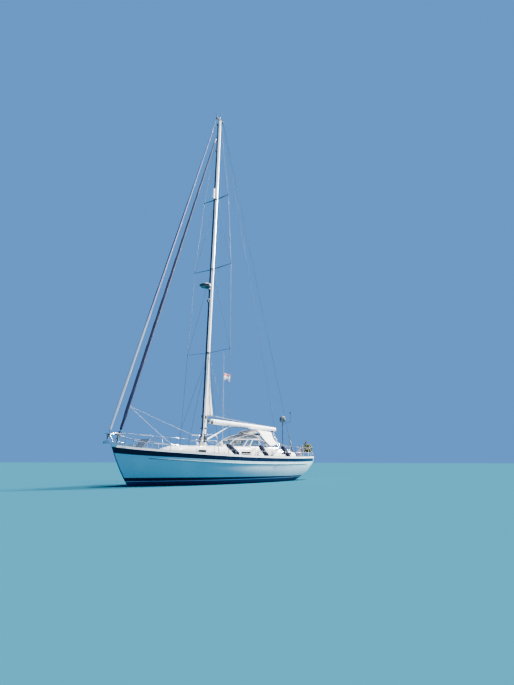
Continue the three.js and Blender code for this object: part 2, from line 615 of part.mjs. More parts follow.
const bows = BOWS_X.map((x) => {
  const half = biminiArch.slice(1, -1).map(([y, z, fore, aft, lift]) => {
    const share = Math.min(1, Math.max(0, (fore - x) / (fore - aft)));
    return [x, ...under(y, z + lift * share - sagAt(share), 40)];
  });
  const foot = (side) => [x + (BOW_FOOT.x - x) * 0.55, side * BOW_FOOT.y, BOW_FOOT.z];
  const shoulder = (side) => [x, side * BOW_SHOULDER.y, BOW_SHOULDER.z];
  return rail([foot(1), shoulder(1), ...half.slice(1, -1), shoulder(-1), foot(-1)], 13);
});
const bowBraces = [1, -1].map((side) => bar(
  ...[BOWS_X[0], BOWS_X[2]].map((x) => [x, side * BOW_SHOULDER.y, BOW_SHOULDER.z]), 11, 6));
const awningBows = cut(join(bows, bowBraces), bimini, moved(bimini, 0, 0, -GAP));
piece('bimini_frame', seat(awningBows, coamingOuter, aftRoofOuter, ...DECK), STEEL);

// Companionway: sliding hatch on the roof and a door in the bulkhead
const hatchLid = join(block(-812, 20, -400, 400, 1902 + GAP, 1938), block(-812, 20, -400, -387, 1885, 1920),
  block(-812, 20, 387, 400, 1885, 1920));
piece('companion_hatch', hatchLid, GLASS);
piece('companion_door', join(block(-817, -780 - GAP, -345, 345, 690, 1790), block(-850, -816, -280, -200, 1300, 1330)),
  TEAKWOOD);

// Steering pedestal and wheel
const WHEEL = { x: -2720, z: 1600, radius: 410 };
piece('pedestal', join(
  loft([[150, 140, SOLE_Z + GAP], [120, 110, 900], [95, 90, 1480], [110, 120, 1560], [100, 110, 1760]].map(
    ([long, half, z]) => [[long, half], [-long, half], [-long, -half], [long, -half]].map(
      ([x, y]) => [WHEEL.x + 170 + x, y, z]))),
  bar([WHEEL.x + 100, 0, WHEEL.z], [WHEEL.x + 24, 0, WHEEL.z], 34, 12)), WHITE);
const rim = new THREE.TorusGeometry(WHEEL.radius, 14, 6, 28).rotateY(Math.PI / 2).translate(WHEEL.x, 0, WHEEL.z);
const spokes = [0, 1, 2, 3, 4, 5].map((i) => {
  const turn = (Math.PI * i) / 3;
  return bar([WHEEL.x, 0, WHEEL.z],
    [WHEEL.x, WHEEL.radius * Math.cos(turn), WHEEL.z + WHEEL.radius * Math.sin(turn)], 8, 6);
});
piece('steering_wheel', join(solid(rim), spokes,
  bar([WHEEL.x + 24 - GAP, 0, WHEEL.z], [WHEEL.x - 30, 0, WHEEL.z], 40, 12)), STEEL);

// Engine under the cockpit sole
piece('engine_block', block(ENGINE.aft, ENGINE.fore, -ENGINE.half, ENGINE.half, ENGINE.foot, ENGINE.head), DARK);

// Foredeck: hatch with its lid standing open, windlass, bow platform, hoops
const HATCH = { x0: 5330, x1: 5950, half: 300, z: 1640 };
const HATCH_HINGE = { x: HATCH.x1 + 12, z: HATCH.z + 18 };
const hingeLugs = [1, -1].map((side) => block(HATCH_HINGE.x - 30, HATCH_HINGE.x + 14,
  Math.min(side * 305, side * 325), Math.max(side * 305, side * 325), 1450, HATCH_HINGE.z + 14));
const hatchFrame = seat(cut(
  join(block(HATCH.x0, HATCH.x1, -HATCH.half, HATCH.half, 1400, HATCH.z), hingeLugs,
    block(HATCH_HINGE.x - 60, HATCH_HINGE.x + 14, -325, 325, 1450, HATCH.z)),
  block(HATCH.x0 + 35, HATCH.x1 - 35, -HATCH.half + 35, HATCH.half - 35, 1612, 1700)), ...DECK);
piece('fore_hatch_frame', hatchFrame, ALLOY);
const LID_OPEN = THREE.MathUtils.degToRad(40);
const lidShape = new THREE.BoxGeometry(620, 600, 26).translate(-310, 0, 0);
lidShape.rotateY(LID_OPEN).translate(HATCH_HINGE.x, 0, HATCH_HINGE.z);
const lidPin = bar([HATCH_HINGE.x, -305 + GAP, HATCH_HINGE.z], [HATCH_HINGE.x, 305 - GAP, HATCH_HINGE.z], 9, 8);
piece('fore_hatch_lid', join(solid(lidShape), lidPin), GLASS);

const windlass = join(block(6260, 6520, -120, 120, 1550, 1690), bar([6390, -180, 1735], [6390, 180, 1735], 66, 12),
  block(6310, 6470, -85, 85, 1680, 1790));
piece('windlass', seat(windlass, ...DECK), STEEL);

const platform = join(block(6760, 7760, -150, 150, 1792, 1840), block(6780, 7020, -70, 70, 1560, 1800),
  bar([7700, -101, 1880], [7700, 101, 1880], 52, 12), block(7640, 7760, -125, -100, 1830, 1930),
  block(7640, 7760, 100, 125, 1830, 1930));
const bowPlatform = seat(platform, ...DECK, capRail);
piece('bow_platform', bowPlatform, STEEL);

const hoop = (x, half, top) => rail([
  [x, half, 1400], [x, half, top - 90], [x, half - 80, top], [x, -half + 80, top], [x, -half, top - 90],
  [x, -half, 1400]], 14);
piece('mast_hoop', seat(hoop(4700, 255, 2120), ...DECK), STEEL);

// Pulpit, pushpit and guard rails
const RAIL_IN = 30; // stanchions stand on the cap rail, this far inside the sheer
const edge = (x, side, up = 0) => {
  const at = sheerAt(x);
  return [x, side * (at.beam - RAIL_IN), at.z + up];
};
const onRail = (body) => seat(body, ...DECK, capRail);
const pulpitSide = (side) => [
  rail([edge(5900, side, 640), [6400, side * 660, 2205], [6700, side * 545, 2235], [7300, side * 310, 2235],
    [7600, side * 200, 2225], [7730, side * 80, 2220], [7740, 0, 2220]], 14),
  bar(edge(5900, side, 60), edge(5900, side, 645), 13, 6),
  bar(edge(6600, side, 60), [6700, side * 545, 2235], 13, 6),
  bar([7180, side * 120, 1810], [7300, side * 310, 2235], 13, 6),
  bar([6648, side * 548, 1960], edge(5900, side, 320), 10, 6),
];
const pulpit = seat(onRail(join(pulpitSide(1), pulpitSide(-1))), bowPlatform);
piece('pulpit', pulpit, STEEL);

const pushpitSide = (side) => [
  ...[640, 330].map((up, i) => rail([...[-6300, -6850, -7230].map((x) => edge(x, side, up)),
    [-7345, side * 1215, 1315 + up], [-7345, side * 420, 1315 + up], [-7345, 0, 1315 + up]], i ? 10 : 14)),
  ...[-6300, -6850, -7230].map((x) => bar(edge(x, side, 60), edge(x, side, 645), 13, 6)),
  bar([-7345, side * 420, 1350], [-7345, side * 420, 1955], 13, 6),
];
const pushpit = onRail(join(pushpitSide(1), pushpitSide(-1)));
piece('pushpit', pushpit, STEEL);

const STANCHIONS = [5150, 3900, 2900, 1500, 0, -1500, -2900, -4200, -5400];
const guardRail = (side) => {
  const posts = STANCHIONS.map((x) => bar(edge(x, side, 60), edge(x, side, GUARD_HEIGHT + 6), 12, 6));
  const line = (up) => [5860, ...STANCHIONS, -6270].map((x) => edge(x, side, up));
  return onRail(join(posts, rail(line(GUARD_HEIGHT), 5, 4), rail(line(330), 5, 4)));
};
piece('guard_rail_port', cut(guardRail(1), pulpit, pushpit), STEEL);
piece('guard_rail_starboard', cut(guardRail(-1), pulpit, pushpit), STEEL);

// Mast, spreaders and what the mast carries
const PIVOT = { x: mastX(3130) - MAST_FORE_AFT / 2 - 62, z: 3130 };
const pivotAt = (z) => PIVOT.x - (z - PIVOT.z) * MAST_RAKE;
const jaw = (z) => block(pivotAt(z) - 30, pivotAt(z) + 130, -34, 34, z - 12, z + 12);
const vangJaws = [2078, 2248].map(jaw);
const mast = seat(join(mastBody(0, 1700, MAST_TOP_Z), jaw(3000), jaw(3260), vangJaws), coachroofOuter);
piece('mast', mast, ALLOY);
const mastClear = mastBody(GAP, 1700, MAST_TOP_Z + 40);

// Spreaders: height, half length
const SPREADERS = [[6732, 1498], [11528, 1312], [15853, 896]];
const SWEEP = 26;
const TIP_RISE = 74;
const tipOf = ([z, half], side) => [mastX(z) - SWEEP, side * half, z + TIP_RISE];
SPREADERS.forEach(([z, half], i) => {
  const arms = [1, -1].map((side) => {
    const tip = tipOf([z, half], side);
    return loft([[mastX(z), 0, z, 62, 15], [...tip, 34, 9]].map(([x, y, height, long, tall]) => [
      [long, 0], [0, tall], [-long, 0], [0, -tall]].map(([dx, dz]) => [x + dx, y, height + dz])));
  });
  const collar = mastBody(16, 1700, MAST_TOP_Z);
  const band = cut(collar, block(-FAR, FAR, -900, 900, z + 40, 30000), block(-FAR, FAR, -900, 900, 0, z - 40));
  piece(`spreaders_${['lower', 'middle', 'upper'][i]}`, cut(join(arms, band), mastClear), DARK);
});

const TOP_X = mastX(MAST_TOP_Z);
const masthead = join(block(TOP_X - 330, TOP_X + 320, -45, 45, MAST_TOP_Z + GAP, MAST_TOP_Z + 70),
  bar([TOP_X - 60, 0, MAST_TOP_Z + 60], [TOP_X - 60, 0, 21800], 7, 6),
  bar([TOP_X + 250, 0, MAST_TOP_Z + 60], [TOP_X + 330, 0, 21480], 7, 6),
  bar([TOP_X + 330, 0, 21480], [TOP_X + 620, 0, 21560], 6, 6),
  block(TOP_X - 20, TOP_X + 60, -40, 40, MAST_TOP_Z + 60, MAST_TOP_Z + 150));
piece('masthead', masthead, DARK);

const RADOME = { z: 10460, radius: 300, x: mastX(10460) + MAST_FORE_AFT / 2 + 330 };
const radomeProfile = [[0, -110], [270, -100], [300, -30], [290, 40], [200, 105], [0, 125]];
const radome = new THREE.LatheGeometry(radomeProfile.map(([r, z]) => new THREE.Vector2(r, z)), 20);
radome.rotateX(Math.PI / 2).translate(RADOME.x, 0, RADOME.z);
piece('radome', cut(join(solid(radome), block(mastX(RADOME.z) + 90, RADOME.x, -60, 60, RADOME.z - 140, RADOME.z - 95),
  block(mastX(RADOME.z) + 90, mastX(RADOME.z) + 160, -60, 60, RADOME.z - 240, RADOME.z - 95)), mastClear), WHITE);

const REFLECTOR_X = mastX(16160) + MAST_FORE_AFT / 2 + 95;
piece('radar_reflector', cut(join(bar([REFLECTOR_X + 12, 0, 15860], [REFLECTOR_X - 12, 0, 16460], 72, 14),
  block(REFLECTOR_X - 180, REFLECTOR_X, -20, 20, 15960, 15990),
  block(REFLECTOR_X - 190, REFLECTOR_X, -20, 20, 16330, 16360)), mastClear), WHITE);

// Shrouds: cap shroud over the spreader tips, diagonals between, two lowers
const CHAIN_X = 1600;
const CHAIN_IN = 400; // chainplates, inside the deck edge
const shrouds = (side) => {
  const footY = side * (sheerAt(CHAIN_X).beam - CHAIN_IN);
  const out = (i) => {
    const [x, y, z] = tipOf(SPREADERS[i], side);
    return [x, y + side * (WIRE + 2), z];
  };
  const wall = (z) => [mastX(z), side * (MAST_ACROSS / 2 - 20), z];
  const foot = [CHAIN_X, footY, 1300];
  const screw = (low, top) => {
    const way = new THREE.Vector3(...top).sub(new THREE.Vector3(...low)).normalize();
    return bar(low, new THREE.Vector3(...low).addScaledVector(way, 600).toArray(), 17, 6);
  };
  const cap = rail([foot, out(0), out(1), out(2), wall(MAST_TOP_Z - 120)], WIRE);
  const lows = [620, -560].map((dx) => [CHAIN_X + dx, side * (sheerAt(CHAIN_X + dx).beam - CHAIN_IN), 1300]);
  const lowers = lows.map((low) => join(
    bar(low, wall(SPREADERS[0][0] - 190), WIRE, 6), screw(low, wall(SPREADERS[0][0] - 190))));
  const diagonals = [0, 1].map((i) => bar(out(i), wall(SPREADERS[i + 1][0] - 170), WIRE - 1, 6));
  const plates = rail([lows[0], foot, lows[1]].map(([x, y]) => [x, y, deckZ(x, y) + 25]), 16);
  return join(cap, lowers, diagonals, plates, screw(foot, out(0)));
};
for (const [side, name] of [[1, 'port'], [-1, 'starboard']]) {
  piece(`shrouds_${name}`, seat(cut(shrouds(side), mastClear), ...DECK, capRail), STEEL);
}

// Stays: a body of revolution along a raked stay, from a table of place and radius
function alongStay(foot, head, table, sides = 10) {
  const a = new THREE.Vector3(...foot);
  const b = new THREE.Vector3(...head);
  const along = b.clone().sub(a).normalize();
  const side = new THREE.Vector3(0, 1, 0);
  const front = new THREE.Vector3().crossVectors(side, along);
  return loft(table.map(([s, radius]) => Array.from({ length: sides }, (_, i) => {
    const turn = (Math.PI * 2 * i) / sides;
    return a.clone().addScaledVector(along, s)
      .addScaledVector(side, radius * Math.cos(turn))
      .addScaledVector(front, radius * Math.sin(turn)).toArray();
  })));
}
const FORESTAY = { foot: [7140, 0, 1870], head: [820, 0, 20700] };
const stayLength = (stay) => new THREE.Vector3(...stay.foot).distanceTo(new THREE.Vector3(...stay.head));
const fore = stayLength(FORESTAY);
piece('furler_drum', seat(alongStay(FORESTAY.foot, FORESTAY.head, [
  [-50, 16], [120, 18], [124, 95], [150, 95], [156, 60], [430, 60], [436, 95], [462, 95], [468, 40], [500, 40]]),
bowPlatform, capRail, ...DECK), DARK);
const genoa = alongStay(FORESTAY.foot, FORESTAY.head, [
  [500 + GAP, 24], [560, 26], [600, 62], [1400, 84], [5200, 80], [10500, 66], [15500, 50], [18500, 34],
  [18560, 14], [fore, 12]]);
piece('genoa_furled', cut(genoa, mastClear), NAVY);

const OUTER = { foot: [7650, 0, 2020], head: [TOP_X + 285, 0, MAST_TOP_Z + 20] };
const outerLength = stayLength(OUTER);
piece('outer_sail_furled', cut(alongStay(OUTER.foot, OUTER.head, [
  [-170, 10], [120, 14], [130, 62], [200, 62], [206, 24], [360, 22], [420, 40], [1600, 56], [9000, 54], [16000, 42],
  [18900, 30], [18950, 8], [outerLength + 40, 8]], 8),
moved(masthead, 0, 0, -GAP), moved(bowPlatform, 0, 0, GAP), pulpit), PINK);

const BACKSTAY = { foot: [-7045, 0, 1330], head: [TOP_X - 300, 0, MAST_TOP_Z + 30] };
const aftStay = alongStay(BACKSTAY.foot, BACKSTAY.head, [
  [0, 14], [180, 14], [186, 22], [560, 22], [566, WIRE], [stayLength(BACKSTAY), WIRE]], 6);
piece('backstay', seat(cut(aftStay, moved(masthead, 0, 0, -GAP)), ...DECK, capRail), STEEL);

// Boom with its gooseneck, vang and the sail's clew
const BOOM = { fore: [1200, 3130], aft: [-5020, 2995] };
const boomZ = (x) => BOOM.fore[1] + ((BOOM.fore[0] - x) / (BOOM.fore[0] - BOOM.aft[0])) * (BOOM.aft[1] - BOOM.fore[1]);
const boomRing = (x, tall, half) => Array.from({ length: 12 }, (_, i) => {
  const turn = (Math.PI * 2 * i) / 12;
  const round = (v) => Math.sign(v) * Math.abs(v) ** 0.7;
  return [x, half * round(Math.cos(turn)), boomZ(x) + tall * round(Math.sin(turn))];
});
piece('boom', loft([boomRing(BOOM_FORE_X, 140, 82), boomRing(-2500, 132, 80), boomRing(-5020, 104, 70)]), ALLOY);
const goose = join(bar([pivotAt(3014), 0, 3014], [pivotAt(3246), 0, 3246], 26, 12),
  block(BOOM_FORE_X + GAP, pivotAt(3130), -30, 30, 3090, 3170));
piece('gooseneck', goose, DARK);
const VANG_PIN = 24;
const PIN_CLEAR = GAP + VANG_PIN * MAST_RAKE; // the pin's ends are square to the raked mast
const VANG = { pinLow: 2090, pinHigh: 2236, footZ: 2160, sleeveEnd: [520, 0, 2520], head: [-520, 0, 2965] };
piece('vang', cut(join(bar([pivotAt(VANG.footZ), 0, VANG.footZ], VANG.sleeveEnd, 34, 10),
  bar([pivotAt(VANG.pinLow), 0, VANG.pinLow + PIN_CLEAR], [pivotAt(VANG.pinHigh), 0, VANG.pinHigh - PIN_CLEAR], VANG_PIN, 12),
  bar(VANG.sleeveEnd, VANG.head, 22, 10),
  block(-590, -480, -14, 14, VANG.head[2] - 50, VANG.head[2] + 40)),
moved(loft([boomRing(1120, 140, 82), boomRing(-2500, 132, 80)]), 0, 0, -GAP)), WHITE);

// Winches: x, y, z of the seat, each on the coaming
const winch = (x, y) => solid(new THREE.LatheGeometry(
  [[0, 0], [95, 0], [95, 40], [70, 60], [58, 110], [72, 165], [72, 190], [0, 200]].map(([r, z]) => new THREE.Vector2(r, z)),
  14).rotateX(Math.PI / 2).translate(x, y, 1845));
piece('winch_port', seat(winch(-2300, 1155), coamingOuter), STEEL);
piece('winch_starboard', seat(winch(-2300, -1155), coamingOuter), STEEL);

// Antenna pole with its dome, and an arm that carries a small antenna, on the starboard quarter
const POLE = { x: -7200, y: -900 };
const DOME_Z = 3610;
const ARM = { x: POLE.x - 40, y: POLE.y + 580, elbow: 3640, top: 4190 };
const pole = onRail(join(bar([POLE.x, POLE.y, 1330], [POLE.x, POLE.y, DOME_Z], 30, 8),
  bar([POLE.x, POLE.y, DOME_Z - 140], [ARM.x, ARM.y, ARM.elbow], 12, 6),
  bar([ARM.x, ARM.y, ARM.elbow - 8], [ARM.x, ARM.y, ARM.top], 11, 6),
  bar([ARM.x, ARM.y, ARM.top - 20], [ARM.x, ARM.y, ARM.top + 70], 42, 8)));
piece('antenna_pole', pole, STEEL);
piece('antenna_dome', solid(new THREE.LatheGeometry(
  [[0, 0], [120, 0], [195, 60], [205, 190], [180, 330], [110, 415], [0, 440]].map(([r, z]) => new THREE.Vector2(r, z)),
  16).rotateX(Math.PI / 2).translate(POLE.x, POLE.y, DOME_Z + GAP)), WHITE);

// Fenders lean from the deck edge up to the house: x and y of the foot, x, y and z of the head
const FENDERS = [[1250, 1930, 1330, 1450, 1790], [-1240, 1960, -1400, 1470, 1800], [-3530, 1860, -3680, 1400, 1830]];
const fender = ([x0, y0, x1, y1, z1]) => {
  const foot = new THREE.Vector3(x0, y0, deckZ(x0, y0) + 150);
  const head = new THREE.Vector3(x1, y1, z1 + 60);
  const long = foot.distanceTo(head);
  return alongStay(foot.toArray(), head.toArray(), [
    [-130, 30], [-100, 90], [-20, 125], [long - 20, 125], [long + 90, 60], [long + 120, 22], [long + 170, 18]], 12);
};
FENDERS.forEach((row, i) => piece(`fender_${i + 1}`,
  cut(fender(row), [...DECK, capRail, coachroofOuter, coamingOuter, aftRoofOuter].map((c) => moved(c, 0, 0, GAP)),
    [coachroofOuter, coamingOuter].map((c) => moved(c, 0, GAP, 0)), moved(capRail, 0, -GAP, 0)), NAVY));

// Lifebuoy on the pushpit, ensign on its staff, courtesy flag under the spreader
const BUOY = { x: -7314, y: 1000, z: 1860, half: 190, rise: 245 };
const buoyRing = rail(Array.from({ length: 11 }, (_, i) => {
  const turn = Math.PI * (1.62 * (i / 10) - 0.31);
  return [BUOY.x + 35, BUOY.y + BUOY.half * Math.cos(turn), BUOY.z + BUOY.rise * Math.sin(turn)];
}), 55, 8);
piece('lifebuoy', cut(buoyRing, moved(pushpit, GAP, 0, 0), pushpit), YELLOW);

const STAFF = { foot: [-7345, 700, 1400], head: [-7585, 700, 2480] };
piece('ensign_staff', cut(seat(bar(STAFF.foot, STAFF.head, 13, 8), capRail, ...DECK), pushpit,
  moved(pushpit, GAP, 0, 0)), TEAKWOOD);

const HALYARD = { x: mastX(SPREADERS[0][0]) - 10, y: 1120 };
piece('courtesy_flag', seat(join(
  block(HALYARD.x - 520, HALYARD.x, HALYARD.y - 3, HALYARD.y + 3, 5150, 5560),
  bar([HALYARD.x, HALYARD.y, 1700], [HALYARD.x, HALYARD.y, SPREADERS[0][0] + 20], 5, 6)), coachroofOuter), FLAG);

export default object;
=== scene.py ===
"""Looks of a cruising sloop, afloat with its sails furled.

Metres, +X forward, +Y to port, waterline at z = 0.
"""

import json
import math

import bmesh
import bpy
from mathutils import Matrix, Vector


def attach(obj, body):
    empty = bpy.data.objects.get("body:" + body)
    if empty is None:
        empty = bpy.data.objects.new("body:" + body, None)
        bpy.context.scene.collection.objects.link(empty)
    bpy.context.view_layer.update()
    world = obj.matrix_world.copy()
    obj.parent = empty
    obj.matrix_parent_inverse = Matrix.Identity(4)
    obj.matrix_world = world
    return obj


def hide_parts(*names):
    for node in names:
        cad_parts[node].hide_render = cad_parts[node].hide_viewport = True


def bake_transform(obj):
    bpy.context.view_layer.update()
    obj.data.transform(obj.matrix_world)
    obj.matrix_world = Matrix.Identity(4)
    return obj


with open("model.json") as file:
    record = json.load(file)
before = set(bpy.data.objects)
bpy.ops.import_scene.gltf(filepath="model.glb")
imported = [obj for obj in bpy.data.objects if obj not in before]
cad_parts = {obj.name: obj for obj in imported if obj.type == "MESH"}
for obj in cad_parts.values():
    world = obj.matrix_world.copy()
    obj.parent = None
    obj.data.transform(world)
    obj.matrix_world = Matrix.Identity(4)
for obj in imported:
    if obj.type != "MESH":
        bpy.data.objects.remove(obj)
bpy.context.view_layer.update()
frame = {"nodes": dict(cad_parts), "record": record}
BODIES = frame["record"]["behaviour"]["bodies"]
BODY_OF = {node: body for body, nodes in BODIES.items() for node in nodes}

# Sizes shared with the solids

SHEER = [
    # x, half beam, height of the deck edge
    (7.400, 0.000, 1.680),
    (7.060, 0.215, 1.636),
    (6.500, 0.600, 1.572),
    (5.700, 1.045, 1.508),
    (4.700, 1.430, 1.450),
    (3.500, 1.780, 1.390),
    (2.200, 2.025, 1.338),
    (0.800, 2.145, 1.300),
    (-0.800, 2.180, 1.276),
    (-2.400, 2.140, 1.266),
    (-3.800, 2.030, 1.265),
    (-5.000, 1.870, 1.272),
    (-6.000, 1.670, 1.287),
    (-6.800, 1.470, 1.303),
    (-7.380, 1.300, 1.315),
]
CAMBER = 0.060
RAIL_TOP = 0.095
TEAK_TOP = 0.014
MAST_FOOT = Vector((1.600, 0.0, 1.900))
MAST_RAKE = math.tan(math.radians(2.44))
MAST_FORE_AFT = 0.262
MAST_ACROSS = 0.172
MAST_TOP = 21.170
BOOM_FORE = Vector((1.120, 0.0, 3.128))
BOOM_AFT = Vector((-5.020, 0.0, 2.995))
SPREADERS = [(6.732, 1.498), (11.528, 1.312), (15.853, 0.896)]
COACHROOF = [
    # x, half width, height of the roof edge
    (4.260, 0.640, 1.480),
    (3.950, 0.760, 1.690),
    (3.500, 0.900, 1.738),
    (2.400, 1.120, 1.765),
    (1.300, 1.250, 1.785),
    (0.300, 1.300, 1.800),
    (-0.780, 1.320, 1.810),
]
AFT_COACHROOF = [
    (-3.500, 1.200, 1.700),
    (-4.400, 1.150, 1.690),
    (-5.300, 1.030, 1.660),
    (-5.800, 0.930, 1.610),
    (-6.020, 0.880, 1.400),
]
ROOF_CROWN = 0.070


def table_at(table, x):
    """The row of a table with falling x, drawn between its two neighbours."""
    for fore, aft in zip(table, table[1:]):
        if x >= aft[0]:
            share = min(1.0, max(0.0, (fore[0] - x) / (fore[0] - aft[0])))
            return [a + (b - a) * share for a, b in zip(fore, aft)]
    return list(table[-1])


def curve_through(table, steps):
    """Rows of a smooth curve through the rows of a table."""
    rows = []
    for step in range(steps + 1):
        place = step / steps * (len(table) - 1)
        index = min(int(place), len(table) - 2)
        t = place - index
        near = [table[max(0, min(len(table) - 1, index + k))] for k in (-1, 0, 1, 2)]
        row = []
        for a, b, c, d in zip(*near):
            bend = (2 * a - 5 * b + 4 * c - d) * t * t + (3 * b - a - 3 * c + d) * t**3
            row.append(b + 0.5 * ((c - a) * t + bend))
        rows.append(tuple(row))
    return rows


SHEER_LINE = curve_through(SHEER, 28)


def deck_edge(x, side=1, inside=0.0, up=0.0):
    """A point of the deck edge, measured inwards and upwards."""
    _, beam, z = table_at(SHEER_LINE, x)
    return Vector((x, side * (beam - inside), z + up))


def deck_at(x, y, up=0.0):
    """A point on the laid deck."""
    _, beam, z = table_at(SHEER_LINE, x)
    crown = CAMBER * (1 - min(1.0, (y / max(beam, 0.01)) ** 2))
    return Vector((x, y, z + crown + TEAK_TOP + up))


def roof_at(table, x, y, up=0.0):
    """A point on a cabin roof."""
    _, half, edge = table_at(table, x)
    share = abs(y) / half
    if share < 0.55:
        rise = 1 - 0.3 * share / 0.55
    else:
        rise = 0.7 - 0.95 * (share - 0.55) / 0.40
    return Vector((x, y, edge + ROOF_CROWN * rise + up))


def mast_x(z):
    return MAST_FOOT.x - (z - MAST_FOOT.z) * MAST_RAKE


def boom_at(x, up=0.0):
    share = (BOOM_FORE.x - x) / (BOOM_FORE.x - BOOM_AFT.x)
    return Vector((x, 0.0, BOOM_FORE.z + (BOOM_AFT.z - BOOM_FORE.z) * share + up))


def on_mast(z, ahead=0.0, across=0.0, up=0.0):
    """A point by the mast, measured from its raked middle line at height z."""
    return Vector((mast_x(z) + ahead, across, z + up))


def moved(points, x=0.0, y=0.0, z=0.0):
    """The same points, shifted."""
    return [Vector(p) + Vector((x, y, z)) for p in points]


def turns(count):
    """The angles of equal steps round a circle."""
    return [math.tau * k / count for k in range(count)]


# Finishes

WAVE = 6.2832  # one full wave of a sine, in radians


class Field:
    """A number that changes over a surface. Arithmetic on it adds Math nodes."""

    def __init__(self, finish, socket):
        self.finish = finish
        self.socket = socket

    def math(self, operation, *values):
        return self.finish.node("ShaderNodeMath", {"operation": operation}, [self, *values])

    def __add__(self, value):
        return self.math("ADD", value)

    def __sub__(self, value):
        return self.math("SUBTRACT", value)

    def __rsub__(self, value):
        return self.finish.node("ShaderNodeMath", {"operation": "SUBTRACT"}, [value, self])

    def __mul__(self, value):
        return self.math("MULTIPLY", value)

    __radd__ = __add__
    __rmul__ = __mul__

    def __truediv__(self, value):
        return self.math("DIVIDE", value)

    def __gt__(self, value):
        return self.math("GREATER_THAN", value)

    def __lt__(self, value):
        return self.math("LESS_THAN", value)

    def __abs__(self):
        return self.math("ABSOLUTE")

    def within(self, low, high):
        return (self > low) * (self < high)

    def part(self, size):
        """Place inside cells of a size, from 0 to 1."""
        return (self / size).math("FRACT")

    def either(self, value):
        return self.math("MAXIMUM", value)

    def wave(self):
        return self.math("SINE")

    def ribs(self, count):
        """A sine that rises and falls so many times in one unit."""
        return (self * count * WAVE).wave()

    def lot(self):
        """A number from 0 to 1 for each whole number, as if drawn by lot."""
        return ((self * 12.9898).wave() * 43758.5453).math("FRACT")


def bend_curve(mapping, places):
    """Puts the points of a curve node in their places, from left to right."""
    points = mapping.curves[0].points
    while len(points) < len(places):
        points.new(0.5, 0.5)
    for point, place in zip(points, places):
        point.location = place
    mapping.update()


class Finish:
    """A material with its procedural detail."""

    def __init__(self, name, slot, color, rough, metal=0.0, **constants):
        self.slot = slot
        self.material = bpy.data.materials.new(name)
        self.material.use_nodes = True
        self.tree = self.material.node_tree
        self.shader = self.tree.nodes["Principled BSDF"]
        self.shader.inputs["Base Color"].default_value = (*color, 1.0)
        self.shader.inputs["Roughness"].default_value = rough
        self.shader.inputs["Metallic"].default_value = metal
        for words, value in constants.items():
            self.shader.inputs[words.replace("_", " ")].default_value = value
        self.material.diffuse_color = (*color, 1.0)

    def node(self, kind, settings=None, values=(), out=0):
        """One node: its settings first, then the values or links of its sockets."""
        node = self.tree.nodes.new(kind)
        for name, value in (settings or {}).items():
            if name == "curve":
                bend_curve(node.mapping, value)
            else:
                setattr(node, name, value)
        pairs = values.items() if isinstance(values, dict) else enumerate(values)
        for key, value in pairs:
            if isinstance(value, Field):
                self.tree.links.new(value.socket, node.inputs[key])
            else:
                node.inputs[key].default_value = value
        return Field(self, node.outputs[out])

    def place(self, size=(1, 1, 1)):
        """Object coordinates in metres, stretched."""
        plain = self.node("ShaderNodeTexCoord", out=3)
        return self.node("ShaderNodeMapping", {}, {"Vector": plain, "Scale": size})

    def axis(self, index):
        return self.node("ShaderNodeSeparateXYZ", {}, [self.place()], out=index)

    def own(self, index):
        """The piece's own map: 0 along it, 1 round it."""
        flat = self.node("ShaderNodeUVMap", {"uv_map": "own"})
        return self.node("ShaderNodeSeparateXYZ", {}, [flat], out=index)

    def noise(self, scale, detail=3.0, size=(1, 1, 1), rough=0.55):
        sockets = {"Vector": self.place(size), "Scale": scale, "Detail": detail, "Roughness": rough}
        return self.node("ShaderNodeTexNoise", {}, sockets)

    def remap(self, field, low, high, to_low, to_high):
        return self.node("ShaderNodeMapRange", {}, [field, low, high, to_low, to_high])

    def drift(self, scale, detail=3.0, size=(1, 1, 1), low=0.0, high=1.0, start=0.3, end=0.7):
        """Noise between two of its values, spread from low to high."""
        return self.remap(self.noise(scale, detail, size), start, end, low, high)

    def mix(self, share, first, second):
        """Two colours in the share of a field."""
        first, second = [(*c, 1.0) if isinstance(c, tuple) else c for c in (first, second)]
        return self.node("ShaderNodeMix", {"data_type": "RGBA"}, {0: share, 6: first, 7: second}, out=2)

    def paint(self, color):
        self.tree.links.new(color.socket, self.shader.inputs["Base Color"])
        return self

    def polish(self, field):
        self.tree.links.new(field.socket, self.shader.inputs["Roughness"])
        return self

    def relief(self, height, depth, strength=1.0):
        """Bump from a height field."""
        sockets = {"Height": height, "Strength": strength, "Distance": depth}
        bump = self.node("ShaderNodeBump", {}, sockets)
        self.tree.links.new(bump.socket, self.shader.inputs["Normal"])
        return self


def mottled(finish, dark, light, scale=1.3):
    """A surface whose colour drifts a little, as weather leaves it."""
    return finish.mix(finish.drift(scale, 4.0), dark, light)


def white_gelcoat():
    shine = {"Coat_Weight": 0.35, "Coat_Roughness": 0.12}
    finish = Finish("white_gelcoat", "white_gelcoat", (0.80, 0.81, 0.78), 0.28, **shine)
    white = mottled(finish, (0.75, 0.765, 0.735), (0.84, 0.85, 0.83))
    rain = finish.drift(9.0, size=(1, 1, 0.12), high=0.16, start=0.56, end=0.74)
    finish.paint(finish.mix(rain, white, (0.60, 0.59, 0.53)))
    finish.polish(finish.drift(22.0, low=0.22, high=0.38))
    return finish.relief(finish.noise(70.0, 2.0), 0.0006, 0.35)


def sheer_height(finish, x):
    """Height of the deck edge over the length of the hull."""
    aft, fore = SHEER_LINE[-1][0], SHEER_LINE[0][0]
    low, tall = 1.2, 0.6
    stations = reversed(SHEER_LINE[::2])
    places = [((px - aft) / (fore - aft), (pz - low) / tall) for px, _, pz in stations]
    share = finish.remap(x, aft, fore, 0.0, 1.0)
    return finish.node("ShaderNodeFloatCurve", {"curve": places}, {"Value": share}) * tall + low


